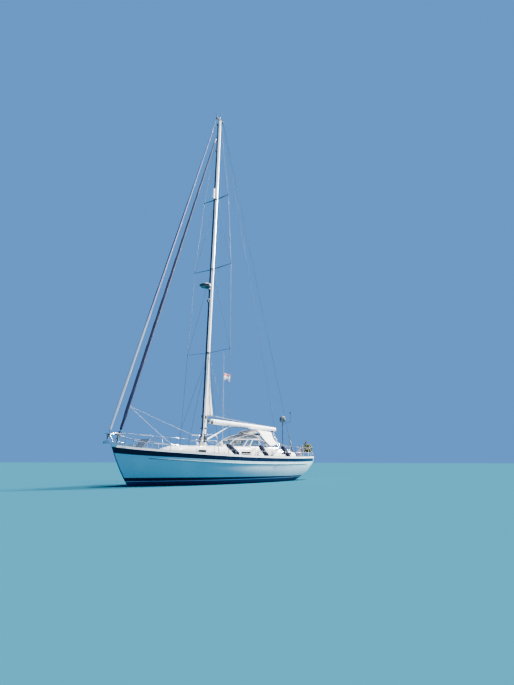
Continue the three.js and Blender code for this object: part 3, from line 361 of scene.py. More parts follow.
def topsides():
    """White topsides tinted teal as painted reflection of sky and water: navy sheer band, fine strake,
    boot stripe over a pale line, blue bottom paint.
    """
    finish = Finish(
        "topsides_gelcoat", "hull_gelcoat", (0.80, 0.82, 0.80), 0.18, Specular_IOR_Level=0.15
    )
    x = finish.axis(0)
    y = abs(finish.axis(1))
    z = finish.axis(2)
    drop = sheer_height(finish, x) - z
    outside = (y > 0.87).either(x > 5.2)
    # The white of the topsides is tinted teal: painted reflection of sky and water on the white hull. The
    # rain runs below carry the same tint.
    white = mottled(finish, (0.37, 0.58, 0.65), (0.44, 0.66, 0.72), 0.8)
    run = finish.drift(7.0, size=(1, 1, 0.10), high=0.22, start=0.55, end=0.75)
    white = finish.mix(run, white, (0.30, 0.48, 0.53))
    navy = finish.mix(finish.drift(3.0), (0.002, 0.006, 0.022), (0.005, 0.013, 0.040))
    antifoul = mottled(finish, (0.003, 0.024, 0.085), (0.007, 0.040, 0.120), 5.0)
    band_foot = finish.remap(x, 5.0, 7.2, 0.200, 0.240)
    band = (drop < band_foot) * outside * (x > -7.24)
    stem = (y < 0.022) * (x > 6.3) * (z > 0.3)
    strake = drop.within(0.310, 0.342) * outside * (x > -5.9) * (x < 6.0)
    boot_top = finish.remap(x, -7.0, 7.0, 0.285, 0.385)
    boot = (z < boot_top) * (z > 0.235)
    line = z.within(0.205, 0.236)
    color = finish.mix(strake, white, (0.045, 0.105, 0.115))
    color = finish.mix(band, color, navy)
    color = finish.mix(stem * 0.85, color, (0.010, 0.035, 0.050))
    color = finish.mix(boot, color, (0.003, 0.007, 0.030))
    color = finish.mix(line, color, (0.44, 0.36, 0.52))
    below = z < 0.206
    cabin = (z > -0.41) * (y < 0.86) * x.within(-5.76, 3.39)
    inside = cabin * (1 - outside)
    finish.paint(finish.mix(below * (1 - inside), color, antifoul))
    finish.polish(finish.drift(1.1, 2.0, low=0.10, high=0.22) + below * 0.35)
    return finish.relief(finish.noise(0.9, 2.0), 0.006, 0.25)


def laid_teak():
    """Narrow planks along the deck with dark caulking, bleached by the sun."""
    finish = Finish("laid_teak", "teak", (0.42, 0.33, 0.23), 0.72)
    wide, long, stagger = 0.055, 1.9, 0.77
    y = finish.axis(1)
    plank = (y / wide).math("FLOOR")
    seam = (y.part(wide) < 0.09).either(y.part(wide) > 0.93)
    butt = (finish.axis(0) + plank * stagger).part(long) < 0.003
    grain = finish.noise(26.0, 5.0, (0.06, 1, 1))
    wood = finish.mix(grain, (0.30, 0.225, 0.15), (0.52, 0.42, 0.30))
    wood = finish.mix(plank.lot() * 0.5, wood, (0.47, 0.42, 0.36))
    caulk = seam.either(butt)
    finish.paint(finish.mix(caulk, wood, (0.022, 0.022, 0.024)))
    finish.polish(finish.remap(grain, 0.3, 0.7, 0.62, 0.85))
    return finish.relief((1 - caulk) * 0.8 + grain * 0.2, 0.0015, 0.6)


def varnished_wood():
    shine = {"Coat_Weight": 0.8, "Coat_Roughness": 0.05}
    finish = Finish("varnished_mahogany", "varnished_wood", (0.26, 0.10, 0.035), 0.16, **shine)
    grain = finish.noise(18.0, 6.0, (1, 6, 0.35))
    figure = finish.remap(grain, 0.3, 0.7, 0, 1)
    finish.paint(finish.mix(figure, (0.15, 0.050, 0.017), (0.36, 0.16, 0.058)))
    return finish.relief(grain, 0.0006, 0.4)


def tinted_glass():
    clear = {"Transmission_Weight": 0.25, "Coat_Weight": 0.05, "IOR": 1.45}
    finish = Finish("tinted_glass", "tinted_glass", (0.012, 0.017, 0.019), 0.06, **clear)
    finish.polish(finish.drift(6.0, low=0.03, high=0.16, start=0.35, end=0.75))
    return finish.relief(finish.noise(1.7, 1.0), 0.002, 0.15)


def clear_sheet(name, slot, color, rough, see_through):
    """Clear glass or vinyl that lets most of the light through, with a faint haze."""
    finish = Finish(name, slot, color, rough, Coat_Weight=0.4, Alpha=see_through)
    finish.polish(finish.drift(9.0, 4.0, low=rough, high=rough + 0.18, start=0.4, end=0.75))
    return finish.relief(finish.noise(2.6, 2.0), 0.003, 0.2)


def smoked_acrylic():
    finish = Finish("smoked_acrylic", "smoked_acrylic", (0.030, 0.036, 0.040), 0.10, Coat_Weight=0.5)
    haze = finish.drift(14.0, 4.0, start=0.4)
    finish.paint(finish.mix(haze, (0.024, 0.030, 0.034), (0.075, 0.082, 0.088)))
    return finish.polish(finish.remap(haze, 0.0, 1.0, 0.08, 0.30))


def canvas(name, slot, dark, light, weave=420.0, scale=3.0, sheen=0.25, shine=0.5):
    """Woven acrylic cloth: warp and weft, sun fade and soft creases."""
    gloss = {"Sheen_Weight": sheen, "Sheen_Roughness": 0.5, "Specular_IOR_Level": shine}
    finish = Finish(name, slot, light, 0.88, **gloss)
    threads = finish.axis(0).ribs(weave) * (finish.axis(1) + finish.axis(2)).ribs(weave)
    finish.paint(finish.mix(finish.drift(scale, 5.0) * 0.8 + threads * 0.1, dark, light))
    finish.polish(finish.drift(40.0, low=0.80, high=0.95))
    crease = finish.noise(5.5, 4.0, (1, 1, 1), 0.6)
    return finish.relief(threads * 0.06 + crease, 0.006, 0.35)


def sun_strip():
    """Navy strip wound round the furled headsail, its lap running up in a long helix."""
    finish = Finish(
        "navy_sun_strip", "navy_sailcloth", (0.012, 0.017, 0.060), 0.72, Specular_IOR_Level=0.12
    )
    lap = (finish.own(0) / 1.30 + finish.own(1)).math("FRACT")
    seam = lap.within(0.10, 0.13)
    fade = finish.drift(2.6, 5.0, (1, 1, 0.4))
    blue = finish.mix(fade, (0.003, 0.006, 0.026), (0.009, 0.015, 0.052))
    blue = finish.mix(lap < 0.045, blue, (0.02, 0.03, 0.08))
    finish.paint(finish.mix(seam * 0.6, blue, (0.004, 0.006, 0.022)))
    finish.polish(finish.remap(fade, 0.0, 1.0, 0.62, 0.82))
    ripple = finish.noise(16.0, 4.0, (1, 1, 0.25))
    return finish.relief(ripple + lap * 0.3, 0.010, 0.5)


def striped_light_sail():
    """Light sail in long lavender, pink and pale panels, its navy edge tape straight up the roll."""
    finish = Finish(
        "striped_light_sail", "pink_sailcloth", (0.17, 0.10, 0.22), 0.60, Specular_IOR_Level=0.1
    )
    s = finish.own(0)
    lap = (s / 90.0 + finish.own(1) + 0.80).math("FRACT")
    tape = lap.within(0.02, 0.34)
    pink = lap.within(0.34, 0.60).either(lap.within(0.72, 0.82))
    panels = finish.mix(lap > 0.90, (0.080, 0.105, 0.260), (0.24, 0.25, 0.38))
    panels = finish.mix(pink, panels, (0.155, 0.075, 0.200))
    panels = finish.mix(finish.remap(s, 5.5, 7.5, 0.75, 0.0), panels, (0.24, 0.31, 0.38))
    panels = finish.mix(tape * finish.remap(s, 5.0, 7.0, 0.55, 1.0), panels, (0.004, 0.003, 0.030))
    finish.paint(finish.mix(finish.remap(s, 12.0, 15.0, 0.0, 0.85), panels, (0.030, 0.085, 0.220)))
    finish.polish(finish.drift(9.0, low=0.5, high=0.72))
    return finish.relief(finish.noise(15.0, 4.0, (1, 1, 0.2)), 0.008, 0.5)


def metal(name, slot, color, rough, scale=35.0, spread=0.10):
    """Bare metal with hazed and handled patches."""
    finish = Finish(name, slot, color, rough, 1.0)
    haze = finish.drift(scale, 4.0)
    finish.paint(finish.mix(haze, tuple(c * 0.82 for c in color), color))
    finish.polish(finish.remap(haze, 0.0, 1.0, rough, rough + spread))
    return finish.relief(haze, 0.0003, 0.25)


def painted_alloy(name, slot, dark, light, rough):
    """Painted or anodised alloy with rain streaks and chalky spots."""
    finish = Finish(name, slot, light, rough, 0.0, Coat_Weight=0.4, Coat_Roughness=0.1)
    streak = finish.drift(7.0, 4.0, (1, 1, 0.08))
    chalk = finish.drift(30.0, high=0.35, start=0.62, end=0.78)
    body = finish.mix(streak, dark, light)
    finish.paint(finish.mix(chalk, body, tuple(c * 0.7 for c in dark)))
    finish.polish(finish.remap(streak, 0.0, 1.0, rough, rough + 0.15))
    return finish.relief(finish.noise(60.0, 2.0), 0.0005, 0.3)


def twisted_wire():
    finish = Finish(
        "twisted_wire", "rigging_wire", (0.04, 0.05, 0.07), 0.5, 0.35, Specular_IOR_Level=0.15
    )
    lay = ((finish.axis(0) + finish.axis(1) + finish.axis(2)) * 190.0).wave()
    finish.paint(finish.mix(lay * 0.5 + 0.5, (0.018, 0.026, 0.042), (0.055, 0.070, 0.100)))
    return finish.relief(lay, 0.0010, 0.5)


def rope(name, dark, light, shine=0.5):
    """Braided line with flecks."""
    finish = Finish(name, "navy_vinyl", light, 0.85, Specular_IOR_Level=shine)
    braid = ((finish.axis(0) + finish.axis(1) * 0.7 + finish.axis(2)) * 260.0).wave()
    fleck = ((finish.axis(0) - finish.axis(1) + finish.axis(2) * 0.6) * 96.0).wave() > 0.72
    finish.paint(finish.mix(fleck, finish.mix(braid * 0.5 + 0.5, dark, light), (0.04, 0.06, 0.16)))
    return finish.relief(braid, 0.0012, 0.6)


def knitted_sock():
    """Knitted cover of a fender, faded in patches."""
    finish = Finish(
        "navy_fender_sock", "navy_vinyl", (0.006, 0.009, 0.026), 0.9, Specular_IOR_Level=0.12
    )
    rib = finish.own(1).ribs(46.0)
    row = finish.own(0).ribs(120.0)
    fade = finish.drift(7.0, 4.0)
    finish.paint(finish.mix(fade * 0.7 + rib * 0.15, (0.003, 0.005, 0.016), (0.012, 0.016, 0.040)))
    return finish.relief(rib + row * 0.3, 0.0015, 0.6)


def moulded(name, slot, dark, light, rough=0.42):
    """Moulded plastic, rubber or enamel with a fine grain."""
    finish = Finish(name, slot, light, rough)
    finish.paint(mottled(finish, dark, light, 9.0))
    finish.polish(finish.drift(45.0, low=rough, high=rough + 0.14))
    return finish.relief(finish.noise(180.0, 2.0), 0.0005, 0.4)


def banded_flag(name, way, first, second, third):
    """Bunting in three plain bands, laid along the fly (0) or down the hoist (1)."""
    finish = Finish(name, "flag_cloth", first, 0.85, Sheen_Weight=0.3)
    across = finish.own(way)
    bands = finish.mix(across > 0.34, first, second)
    bands = finish.mix(across > 0.67, bands, third)
    fade = finish.drift(12.0, 4.0, high=0.25, start=0.35, end=0.75)
    finish.paint(finish.mix(fade, bands, (0.45, 0.42, 0.42)))
    weave = (finish.own(0) * 1600.0).wave() * (finish.own(1) * 1600.0).wave()
    return finish.relief(weave, 0.0006, 0.4)


def bottom_paint():
    finish = Finish("blue_antifouling", "bottom_paint", (0.015, 0.045, 0.14), 0.8)
    patch = finish.drift(4.0, 6.0, start=0.35)
    finish.paint(finish.mix(patch, (0.010, 0.030, 0.105), (0.026, 0.070, 0.185)))
    return finish.relief(finish.noise(60.0, 5.0), 0.002, 0.4)


MATT = {"sheen": 0.0, "shine": 0.1}
HULL = topsides()
GELCOAT = white_gelcoat()
TEAK = laid_teak()
VARNISH = varnished_wood()
GLASS = tinted_glass()
SCREEN_GLASS = clear_sheet("windscreen_glass", "tinted_glass", (0.040, 0.065, 0.075), 0.03, 0.34)
CLEAR_VINYL = clear_sheet("clear_vinyl", "clear_vinyl", (0.085, 0.115, 0.135), 0.08, 0.18)
ACRYLIC = smoked_acrylic()
# Grey-blue hood canvas darkened to near black: its own grey-blue, with painted shade of the awning over
# the hood.
GREY_CANVAS_WITH_PAINTED_SHADE = canvas(
    "grey_blue_canvas_with_painted_shade", "grey_canvas", (0.006, 0.009, 0.016), (0.018, 0.024, 0.038), **MATT
)
# Near-black bag canvas: the bags' own dark cloth, with painted shade of the lower mast.
BAG_CANVAS_WITH_PAINTED_SHADE = canvas(
    "bag_canvas_with_painted_shade", "navy_vinyl", (0.006, 0.011, 0.018), (0.020, 0.032, 0.042), **MATT
)
WHITE_CANVAS = canvas("white_canvas", "white_canvas", (0.66, 0.645, 0.60), (0.84, 0.83, 0.79))
SAIL_WHITE = canvas(
    "white_sailcloth", "white_canvas", (0.50, 0.42, 0.41), (0.74, 0.68, 0.66), 300.0, 6.0
)
PIPING = canvas("navy_piping", "navy_sailcloth", (0.010, 0.014, 0.055), (0.022, 0.030, 0.095))
SUN_STRIP = sun_strip()
LIGHT_SAIL = striped_light_sail()
STAINLESS = metal("polished_stainless", "stainless", (0.62, 0.64, 0.66), 0.12)
# Stainless darkened to blue-grey: painted shade, the look of the steel in shade.
STEEL_WITH_PAINTED_SHADE = metal("stainless_with_painted_shade", "stainless", (0.13, 0.15, 0.22), 0.34)
BRONZE = metal("sea_bronze", "bronze", (0.42, 0.27, 0.11), 0.30, 14.0, 0.2)
WIRE = twisted_wire()
MAST_PAINT = painted_alloy(
    "white_mast_paint", "white_alloy", (0.70, 0.72, 0.71), (0.84, 0.86, 0.85), 0.24
)
DARK_ALLOY = painted_alloy(
    "dark_anodised_alloy", "dark_alloy", (0.010, 0.014, 0.018), (0.030, 0.037, 0.044), 0.34
)
SHEET_ROPE = rope("white_flecked_rope", (0.42, 0.42, 0.40), (0.70, 0.70, 0.66))
DARK_ROPE = rope("dark_rope", (0.004, 0.006, 0.012), (0.014, 0.018, 0.030), 0.1)
SOCK = knitted_sock()
PLASTIC = moulded("white_moulding", "white_plastic", (0.74, 0.76, 0.75), (0.86, 0.88, 0.87))
# White mouldings coloured dark teal-grey: painted shade of the domes' undersides.
DOME_PLASTIC_WITH_PAINTED_SHADE = moulded("white_moulding_with_painted_shade", "white_plastic", (0.022, 0.042, 0.056), (0.055, 0.088, 0.105))
RUBBER = moulded("black_rubber", "navy_vinyl", (0.010, 0.011, 0.013), (0.028, 0.029, 0.032), 0.65)
FOAM_COVER = canvas(
    "yellow_cover", "yellow_foam", (0.055, 0.060, 0.006), (0.150, 0.140, 0.020), 300.0, 6.0, 0.0, 0.15
)
ENGINE_PAINT = moulded("engine_enamel", "engine_paint", (0.030, 0.045, 0.042), (0.055, 0.080, 0.075))
BOTTOM = bottom_paint()
COURTESY = banded_flag(
    "courtesy_bunting", 1, (0.36, 0.018, 0.040), (0.50, 0.50, 0.52), (0.035, 0.055, 0.20)
)
ENSIGN = banded_flag(
    "ensign_bunting", 0, (0.004, 0.055, 0.045), (0.17, 0.20, 0.30), (0.40, 0.19, 0.26)
)

# Making pieces


class Form:
    """Points and faces of a piece, gathered shape by shape."""

    def __init__(self):
        self.points = []
        self.faces = []
        self.own = []

    def add(self, points, faces, own=None):
        start = len(self.points)
        self.points += [Vector(p) for p in points]
        self.faces += [tuple(start + i for i in face) for face in faces]
        self.own += own if own else [(0.0, 0.0)] * len(points)
        return self

    def skin(self, rings, closed=False, own=None):
        """Rings of equally many points, joined. The ends are capped unless the row is closed."""
        count = len(rings[0])
        faces = []
        for i in range(len(rings) if closed else len(rings) - 1):
            here, there = i * count, (i + 1) % len(rings) * count
            for j in range(count):
                k = (j + 1) % count
                faces.append((here + j, there + j, there + k, here + k))
        if not closed:
            faces.append(tuple(reversed(range(count))))
            faces.append(tuple(range(len(rings) * count - count, len(rings) * count)))
        return self.add([p for ring in rings for p in ring], faces, own)

    def tube(self, path, radius, sides=8, closed=False):
        """A round bar along a path; the radius may be one number or one for each point."""
        path = [Vector(p) for p in path]
        count = len(path)
        normal = None
        rings = []
        own = []
        run = 0.0
        for i, point in enumerate(path):
            ahead = path[(i + 1) % count] if closed else path[min(i + 1, count - 1)]
            behind = path[i - 1] if closed or i else path[0]
            along = (ahead - behind).normalized()
            if normal is None:
                normal = Vector((0, 0, 1)) if abs(along.z) < 0.9 else Vector((1, 0, 0))
            normal = (normal - along * normal.dot(along)).normalized()
            side = along.cross(normal)
            size = radius[i] if isinstance(radius, (list, tuple)) else radius
            run += (point - path[i - 1]).length if i else 0.0
            ring = []
            for turn in turns(sides):
                ring.append(point + normal * size * math.cos(turn) + side * size * math.sin(turn))
            rings.append(ring)
            own += [(run, k / sides) for k in range(sides)]
        return self.skin(rings, closed, own)

    def bar(self, path, section):
        """A bar whose section is given as shifts from each point of its path."""
        return self.skin([[Vector(p) + Vector(shift) for shift in section] for p in path])

    def block(self, low, high):
        x0, y0, z0 = low
        x1, y1, z1 = high
        base = [(x0, y0), (x1, y0), (x1, y1), (x0, y1)]
        return self.skin([[(x, y, z) for x, y in base] for z in (z0, z1)])

    def turned(self, profile, at, along=(0, 0, 1), sides=24):
        """A turned form: distance along the axis and radius, from one end to the other."""
        spin = Vector((0, 0, 1)).rotation_difference(Vector(along).normalized()).to_matrix()
        rings = []
        for height, radius in profile:
            ring = [Vector((radius * math.cos(a), radius * math.sin(a), height)) for a in turns(sides)]
            rings.append([Vector(at) + spin @ point for point in ring])
        return self.skin(rings)

    def cloth(self, rows, opening=None):
        """An open grid of points with its own map; the cells that opening names are left out."""
        count = len(rows[0])
        faces = []
        own = []
        for i in range(len(rows) - 1):
            for j in range(count - 1):
                a = i * count + j
                if not (opening and opening(i, j)):
                    faces.append((a, a + count, a + count + 1, a + 1))
        for i in range(len(rows)):
            for j in range(count):
                own.append((i / (len(rows) - 1), j / (count - 1)))
        return self.add([p for row in rows for p in row], faces, own)


def flat_section(y0, y1, z0, z1):
    """The section of a bar that lies fore and aft, as shifts across and up."""
    return [(0, y0, z0), (0, y1, z0), (0, y1, z1), (0, y0, z1)]


def linked(name, mesh, finish):
    piece = bpy.data.objects.new(name, mesh)
    bpy.context.scene.collection.objects.link(piece)
    mesh.materials.clear()
    mesh.materials.append(finish.material)
    return piece


def rounded(mesh, crease):
    mesh.shade_smooth()
    mesh.set_sharp_from_angle(angle=math.radians(crease))


def made(
    name,
    form,
    finish,
    body="hull",
    crease=38,
    bevel=0.0,
    thick=0.0,
    smooth=0,
    instead=(),
    open_cloth=False,
):
    """A finished piece from a form, riding on a body, or on none."""
    mesh = bpy.data.meshes.new(name)
    mesh.from_pydata(form.points, [], form.faces)
    own = mesh.uv_layers.new(name="own")
    for loop in mesh.loops:
        own.data[loop.index].uv = form.own[loop.vertex_index]
    mesh.validate()
    work = bmesh.new()
    work.from_mesh(mesh)
    if not open_cloth:
        bmesh.ops.recalc_face_normals(work, faces=work.faces)
    work.to_mesh(mesh)
    work.free()
    rounded(mesh, crease)
    piece = linked(name, mesh, finish)
    if thick:
        wall = piece.modifiers.new("cloth", "SOLIDIFY")
        wall.thickness = thick
        wall.offset = 0.0
    if bevel:
        edge = piece.modifiers.new("edges", "BEVEL")
        edge.width = bevel
        edge.segments = 2
        edge.limit_method = "ANGLE"
        edge.angle_limit = math.radians(40)
        edge.harden_normals = False
    if smooth:
        finer = piece.modifiers.new("smooth", "SUBSURF")
        finer.levels = smooth
        finer.render_levels = smooth
    dress(piece, body, instead)
    return piece


def sewn(name, rows, finish, thick, crease=60, instead=(), opening=None):
    """A cloth from rows of points, given its thickness."""
    form = Form().cloth(rows, opening)
    return made(name, form, finish, instead=instead, thick=thick, open_cloth=True, crease=crease)


def dress(piece, body, instead=()):
    if body:
        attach(piece, body)
    if instead:
        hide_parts(*instead)


def smooth_skin(node, finish, crease=32):
    """The solid of a node with its facets shaded as the curve they stand for."""
    source = frame["nodes"][node].data
    work = bmesh.new()
    work.from_mesh(source)
    bmesh.ops.remove_doubles(work, verts=work.verts, dist=2e-5)
    points = [v.co.copy() for v in work.verts]
    work.verts.index_update()
    faces = [tuple(v.index for v in face.verts) for face in work.faces]
    work.free()
    mesh = bpy.data.meshes.new(node + "_skin")
    mesh.from_pydata(points, [], faces)
    mesh.validate()
    rounded(mesh, crease)
    piece = linked(node + "_skin", mesh, finish)
    dress(piece, BODY_OF[node], (node,))
    return piece


def finished(node, finish):
    """A node that keeps its own solid and gets its finish."""
    node_object = frame["nodes"][node]
    node_object.data.materials.clear()
    node_object.data.materials.append(finish.material)


# What repeats along a path


def repeat_tree():
    """Geometry nodes that set a form along a path at a spacing."""
    tree = bpy.data.node_groups.new("set_along_a_path", "GeometryNodeTree")
    face = tree.interface
    for name, kind in (
        ("Path", "NodeSocketGeometry"),
        ("Form", "NodeSocketObject"),
        ("Spacing", "NodeSocketFloat"),
        ("Finish", "NodeSocketMaterial"),
    ):
        face.new_socket(name=name, in_out="INPUT", socket_type=kind)
    face.new_socket(name="Pieces", in_out="OUTPUT", socket_type="NodeSocketGeometry")
    made_nodes = {}
    for key, kind in (
        ("given", "NodeGroupInput"),
        ("curve", "GeometryNodeMeshToCurve"),
        ("places", "GeometryNodeCurveToPoints"),
        ("form", "GeometryNodeObjectInfo"),
        ("set", "GeometryNodeInstanceOnPoints"),
        ("real", "GeometryNodeRealizeInstances"),
        ("finish", "GeometryNodeSetMaterial"),
        ("result", "NodeGroupOutput"),
    ):
        made_nodes[key] = tree.nodes.new(kind)
    made_nodes["places"].mode = "LENGTH"
    for source, out, target, into in (
        ("given", "Path", "curve", "Mesh"),
        ("curve", "Curve", "places", "Curve"),
        ("given", "Spacing", "places", "Length"),
        ("given", "Form", "form", "Object"),
        ("places", "Points", "set", "Points"),
        ("places", "Rotation", "set", "Rotation"),
        ("form", "Geometry", "set", "Instance"),
        ("set", "Instances", "real", "Geometry"),
        ("real", "Geometry", "finish", "Geometry"),
        ("given", "Finish", "finish", "Material"),
        ("finish", "Geometry", "result", "Pieces"),
    ):
        tree.links.new(made_nodes[source].outputs[out], made_nodes[target].inputs[into])
    return tree


REPEAT = repeat_tree()


def bead(length, radius):
    """A small rounded bar along Z, for a stitch."""
    end, shoulder = length / 2, length / 4
    profile = [(-end, radius * 0.3), (-shoulder, radius), (shoulder, radius), (end, radius * 0.3)]
    return Form().turned(profile, (0, 0, 0), sides=6)


def set_along(name, paths, form, spacing, finish, body="hull"):
    """A form repeated along paths and turned into one plain mesh."""
    shape = bpy.data.meshes.new("form")
    shape.from_pydata(form.points, [], form.faces)
    shape.shade_smooth()
    pattern = bpy.data.objects.new("form", shape)
    bpy.context.scene.collection.objects.link(pattern)
    points = []
    edges = []
    for path in paths:
        start = len(points)
        points += [Vector(p) for p in path]
        edges += [(start + i, start + i + 1) for i in range(len(path) - 1)]
    line = bpy.data.meshes.new("path")
    line.from_pydata(points, edges, [])
    carrier = bpy.data.objects.new("path", line)
    bpy.context.scene.collection.objects.link(carrier)
    modifier = carrier.modifiers.new("repeat", "NODES")
    modifier.node_group = REPEAT
    inputs = [item for item in REPEAT.interface.items_tree if item.in_out == "INPUT"]
    given = {item.name: item.identifier for item in inputs}
    modifier[given["Form"]] = pattern
    modifier[given["Spacing"]] = spacing
    modifier[given["Finish"]] = finish.material
    seen = carrier.evaluated_get(bpy.context.evaluated_depsgraph_get())
    mesh = bpy.data.meshes.new_from_object(seen)
    mesh.name = name
    for spare in (carrier, pattern):
        bpy.data.objects.remove(spare)
    piece = linked(name, mesh, finish)
    dress(piece, body)
    return piece


def wobble(seed, *sizes):
    """A gentle repeatable drift from a few sines, between -1 and 1."""
    total = 0.0
    for k, size in enumerate(sizes):
        total += math.sin(size * (k * 1.7 + 1.0) + seed * 2.399963 + k)
    return total / len(sizes)


# Hull, deck and spars keep the solids' own forms

for node, finish, crease in (
    ("hull", HULL, 30),
    ("keel", BOTTOM, 40),
    ("skeg", BOTTOM, 40),
    ("rudder", BOTTOM, 40),
    ("propeller_shaft", BRONZE, 40),
    ("propeller", BRONZE, 30),
    ("cap_rail", GELCOAT, 40),
    ("coachroof", GELCOAT, 34),
    ("aft_coachroof", GELCOAT, 34),
    ("cockpit_coaming", GELCOAT, 34),
    ("coachroof_glass", GLASS, 34),
    ("aft_coachroof_glass", GLASS, 34),
    ("windscreen_glass", SCREEN_GLASS, 20),
    ("windscreen_frame", MAST_PAINT, 40),
    ("sprayhood_bow", STAINLESS, 60),
    ("bimini_frame", STAINLESS, 60),
    # The hoop, the antenna pole and dome, and the radome take colours with painted shade.
    ("mast_hoop", STEEL_WITH_PAINTED_SHADE, 60),
    ("pulpit", STAINLESS, 60),
    ("pushpit", STAINLESS, 60),
    ("guard_rail_port", STAINLESS, 60),
    ("guard_rail_starboard", STAINLESS, 60),
    ("antenna_pole", STEEL_WITH_PAINTED_SHADE, 50),
    ("antenna_dome", DOME_PLASTIC_WITH_PAINTED_SHADE, 60),
    ("steering_wheel", STAINLESS, 50),
    ("mast", MAST_PAINT, 50),
    ("spreaders_lower", DARK_ALLOY, 60),
    ("spreaders_middle", DARK_ALLOY, 60),
    ("spreaders_upper", DARK_ALLOY, 60),
    ("masthead", DARK_ALLOY, 40),
    ("radome", DOME_PLASTIC_WITH_PAINTED_SHADE, 60),
    ("radar_reflector", PLASTIC, 50),
    ("shrouds_port", WIRE, 60),
    ("shrouds_starboard", WIRE, 60),
    ("backstay", WIRE, 60),
    ("furler_drum", DARK_ALLOY, 40),
    ("boom", MAST_PAINT, 50),
    ("gooseneck", DARK_ALLOY, 50),
    ("vang", MAST_PAINT, 50),
    ("windlass", STAINLESS, 45),
    ("ensign_staff", VARNISH, 60),
):
    smooth_skin(node, finish, crease)

for node, finish in (
    ("deck", TEAK),
    ("companion_door", VARNISH),
    ("companion_hatch", ACRYLIC),
    ("pedestal", GELCOAT),
    ("engine_block", ENGINE_PAINT),
    ("fore_hatch_frame", MAST_PAINT),
    ("fore_hatch_lid", ACRYLIC),
    ("bow_platform", STAINLESS),
):
    finished(node, finish)

# Furled headsails


def at_length(table, s):
    """The second column of a table of length and radius."""
    for (s0, r0), (s1, r1) in zip(table, table[1:]):
        if s <= s1:
            return r0 + (r1 - r0) * max(0.0, s - s0) / (s1 - s0)
    return table[-1][1]


def furled_sail(name, node, stay, roll, pitch, lap, finish, seed):
    """Cloth wound round a stay, with the edge of its last turn running up it."""
    foot, head = stay
    along = (head - foot).normalized()
    side = Vector((0, 1, 0))
    front = side.cross(along)
    sides = 22
    low, high = roll[0][0], roll[-1][0]
    count = int((high - low) / 0.085)
    stations = sorted({low + (high - low) * i / count for i in range(count + 1)} | {s for s, _ in roll})
    rings = []
    own = []
    for s in stations:
        ring = []
        for k, turn in enumerate(turns(sides)):
            edge = (s / pitch + k / sides) % 1.0
            pucker = 0.035 * wobble(seed, 5.3 * s, 13.1 * s + 2 * turn, 3 * turn + 1.9 * s)
            size = at_length(roll, s) * (1.0 - lap * (1.0 - edge) + pucker)
            ring.append(foot + along * s + side * size * math.cos(turn) + front * size * math.sin(turn))
            own.append((s, k / sides))
        rings.append(ring)
    return made(name, Form().skin(rings, own=own), finish, instead=(node,), crease=50)


FORESTAY = (Vector((7.140, 0.0, 1.870)), Vector((0.820, 0.0, 20.700)))
OUTER_STAY = (Vector((7.650, 0.0, 2.020)), on_mast(MAST_TOP, 0.285, 0.0, 0.020))
# Length up the stay and radius of the roll there
GENOA_ROLL = [(0.56, 0.028), (0.62, 0.062), (1.40, 0.086), (5.20, 0.082)]
GENOA_ROLL += [(10.5, 0.068), (15.5, 0.052), (18.5, 0.036), (18.56, 0.016)]
LIGHT_ROLL = [(0.36, 0.024), (0.42, 0.042), (1.60, 0.059), (9.00, 0.057)]
LIGHT_ROLL += [(16.0, 0.045), (18.9, 0.032), (18.95, 0.010)]
furled_sail("furled_genoa", "genoa_furled", FORESTAY, GENOA_ROLL, 1.30, 0.16, SUN_STRIP, 3)
furled_sail("furled_light_sail", "outer_sail_furled", OUTER_STAY, LIGHT_ROLL, 2.90, 0.14, LIGHT_SAIL, 8)


def up_stay(stay, share):
    return stay[0].lerp(stay[1], share)


stays = Form()
stays.tube([up_stay(FORESTAY, 0.024), up_stay(FORESTAY, 0.999)], 0.009)
stays.tube([OUTER_STAY[0] + Vector((0.055, 0, -0.16)), up_stay(OUTER_STAY, 0.999)], 0.008)
made("headstay_wires", stays, WIRE)

swivels = Form()
for (foot, head), places, profile in (
    (FORESTAY, (18.62, 18.80), [(-0.06, 0.02), (-0.05, 0.040), (0.04, 0.040), (0.06, 0.018)]),
    (OUTER_STAY, (0.02, 19.05), [(-0.05, 0.015), (-0.04, 0.033), (0.05, 0.033), (0.07, 0.014)]),
):
    way = (head - foot).normalized()
    for s in places:
        swivels.turned(profile, foot + way * s, way, 16)
drum = [(0.09, 0.03), (0.10, 0.068), (0.115, 0.068), (0.12, 0.040)]
drum += [(0.185, 0.040), (0.19, 0.068), (0.205, 0.068), (0.21, 0.03)]
swivels.turned(drum, OUTER_STAY[0], OUTER_STAY[1] - OUTER_STAY[0], 20)
made("furling_swivels", swivels, DARK_ALLOY)

# Sprayhood: cloth over two bows, clear windows in its sides, and a clear front down to the windscreen

HOOD = [
    # x, half width, foot, crown
    (-1.850, 1.085, 2.200, 2.605),
    (-2.300, 1.100, 2.130, 2.640),
    (-2.700, 1.105, 2.080, 2.650),
    (-3.050, 1.105, 2.030, 2.640),
]
HOOD_FORE = -1.853
HOOD_LONG = 1.194
HOOD_STEPS = 30
HOOD_HALF = 24  # cells from the hood's middle to one side
SIDE_ROWS = (4, 26)
SIDE_COLUMNS = (3, 12)


def hood_point(x, share, inset):
    _, half, foot, crown = table_at(HOOD, x)
    rise = (1 - min(1.0, abs(share)) ** 3.2) ** 0.8
    height = foot + (crown - foot) * rise - inset * min(1.0, rise * 2)
    return Vector((x, share * (half - inset), height))


def hood_inset(x, share):
    """How far the cloth lies inside its solid: least over the bows, most between them."""
    span = min(1.0, max(0.0, (HOOD_FORE - x) / HOOD_LONG))
    slack = math.sin(math.pi * span) ** 2 * (1 - abs(share) ** 4)
    return 0.006 + 0.011 * slack + 0.0022 * wobble(2, x * 7.0 + share * 3.0, share * 11.0 - x * 4.0)


def in_side_window(i, j):
    """The cells of the clear windows in the hood's two sides."""
    low, high = SIDE_COLUMNS
    return SIDE_ROWS[0] <= i < SIDE_ROWS[1] and (low <= j < high or low <= 2 * HOOD_HALF - 1 - j < high)


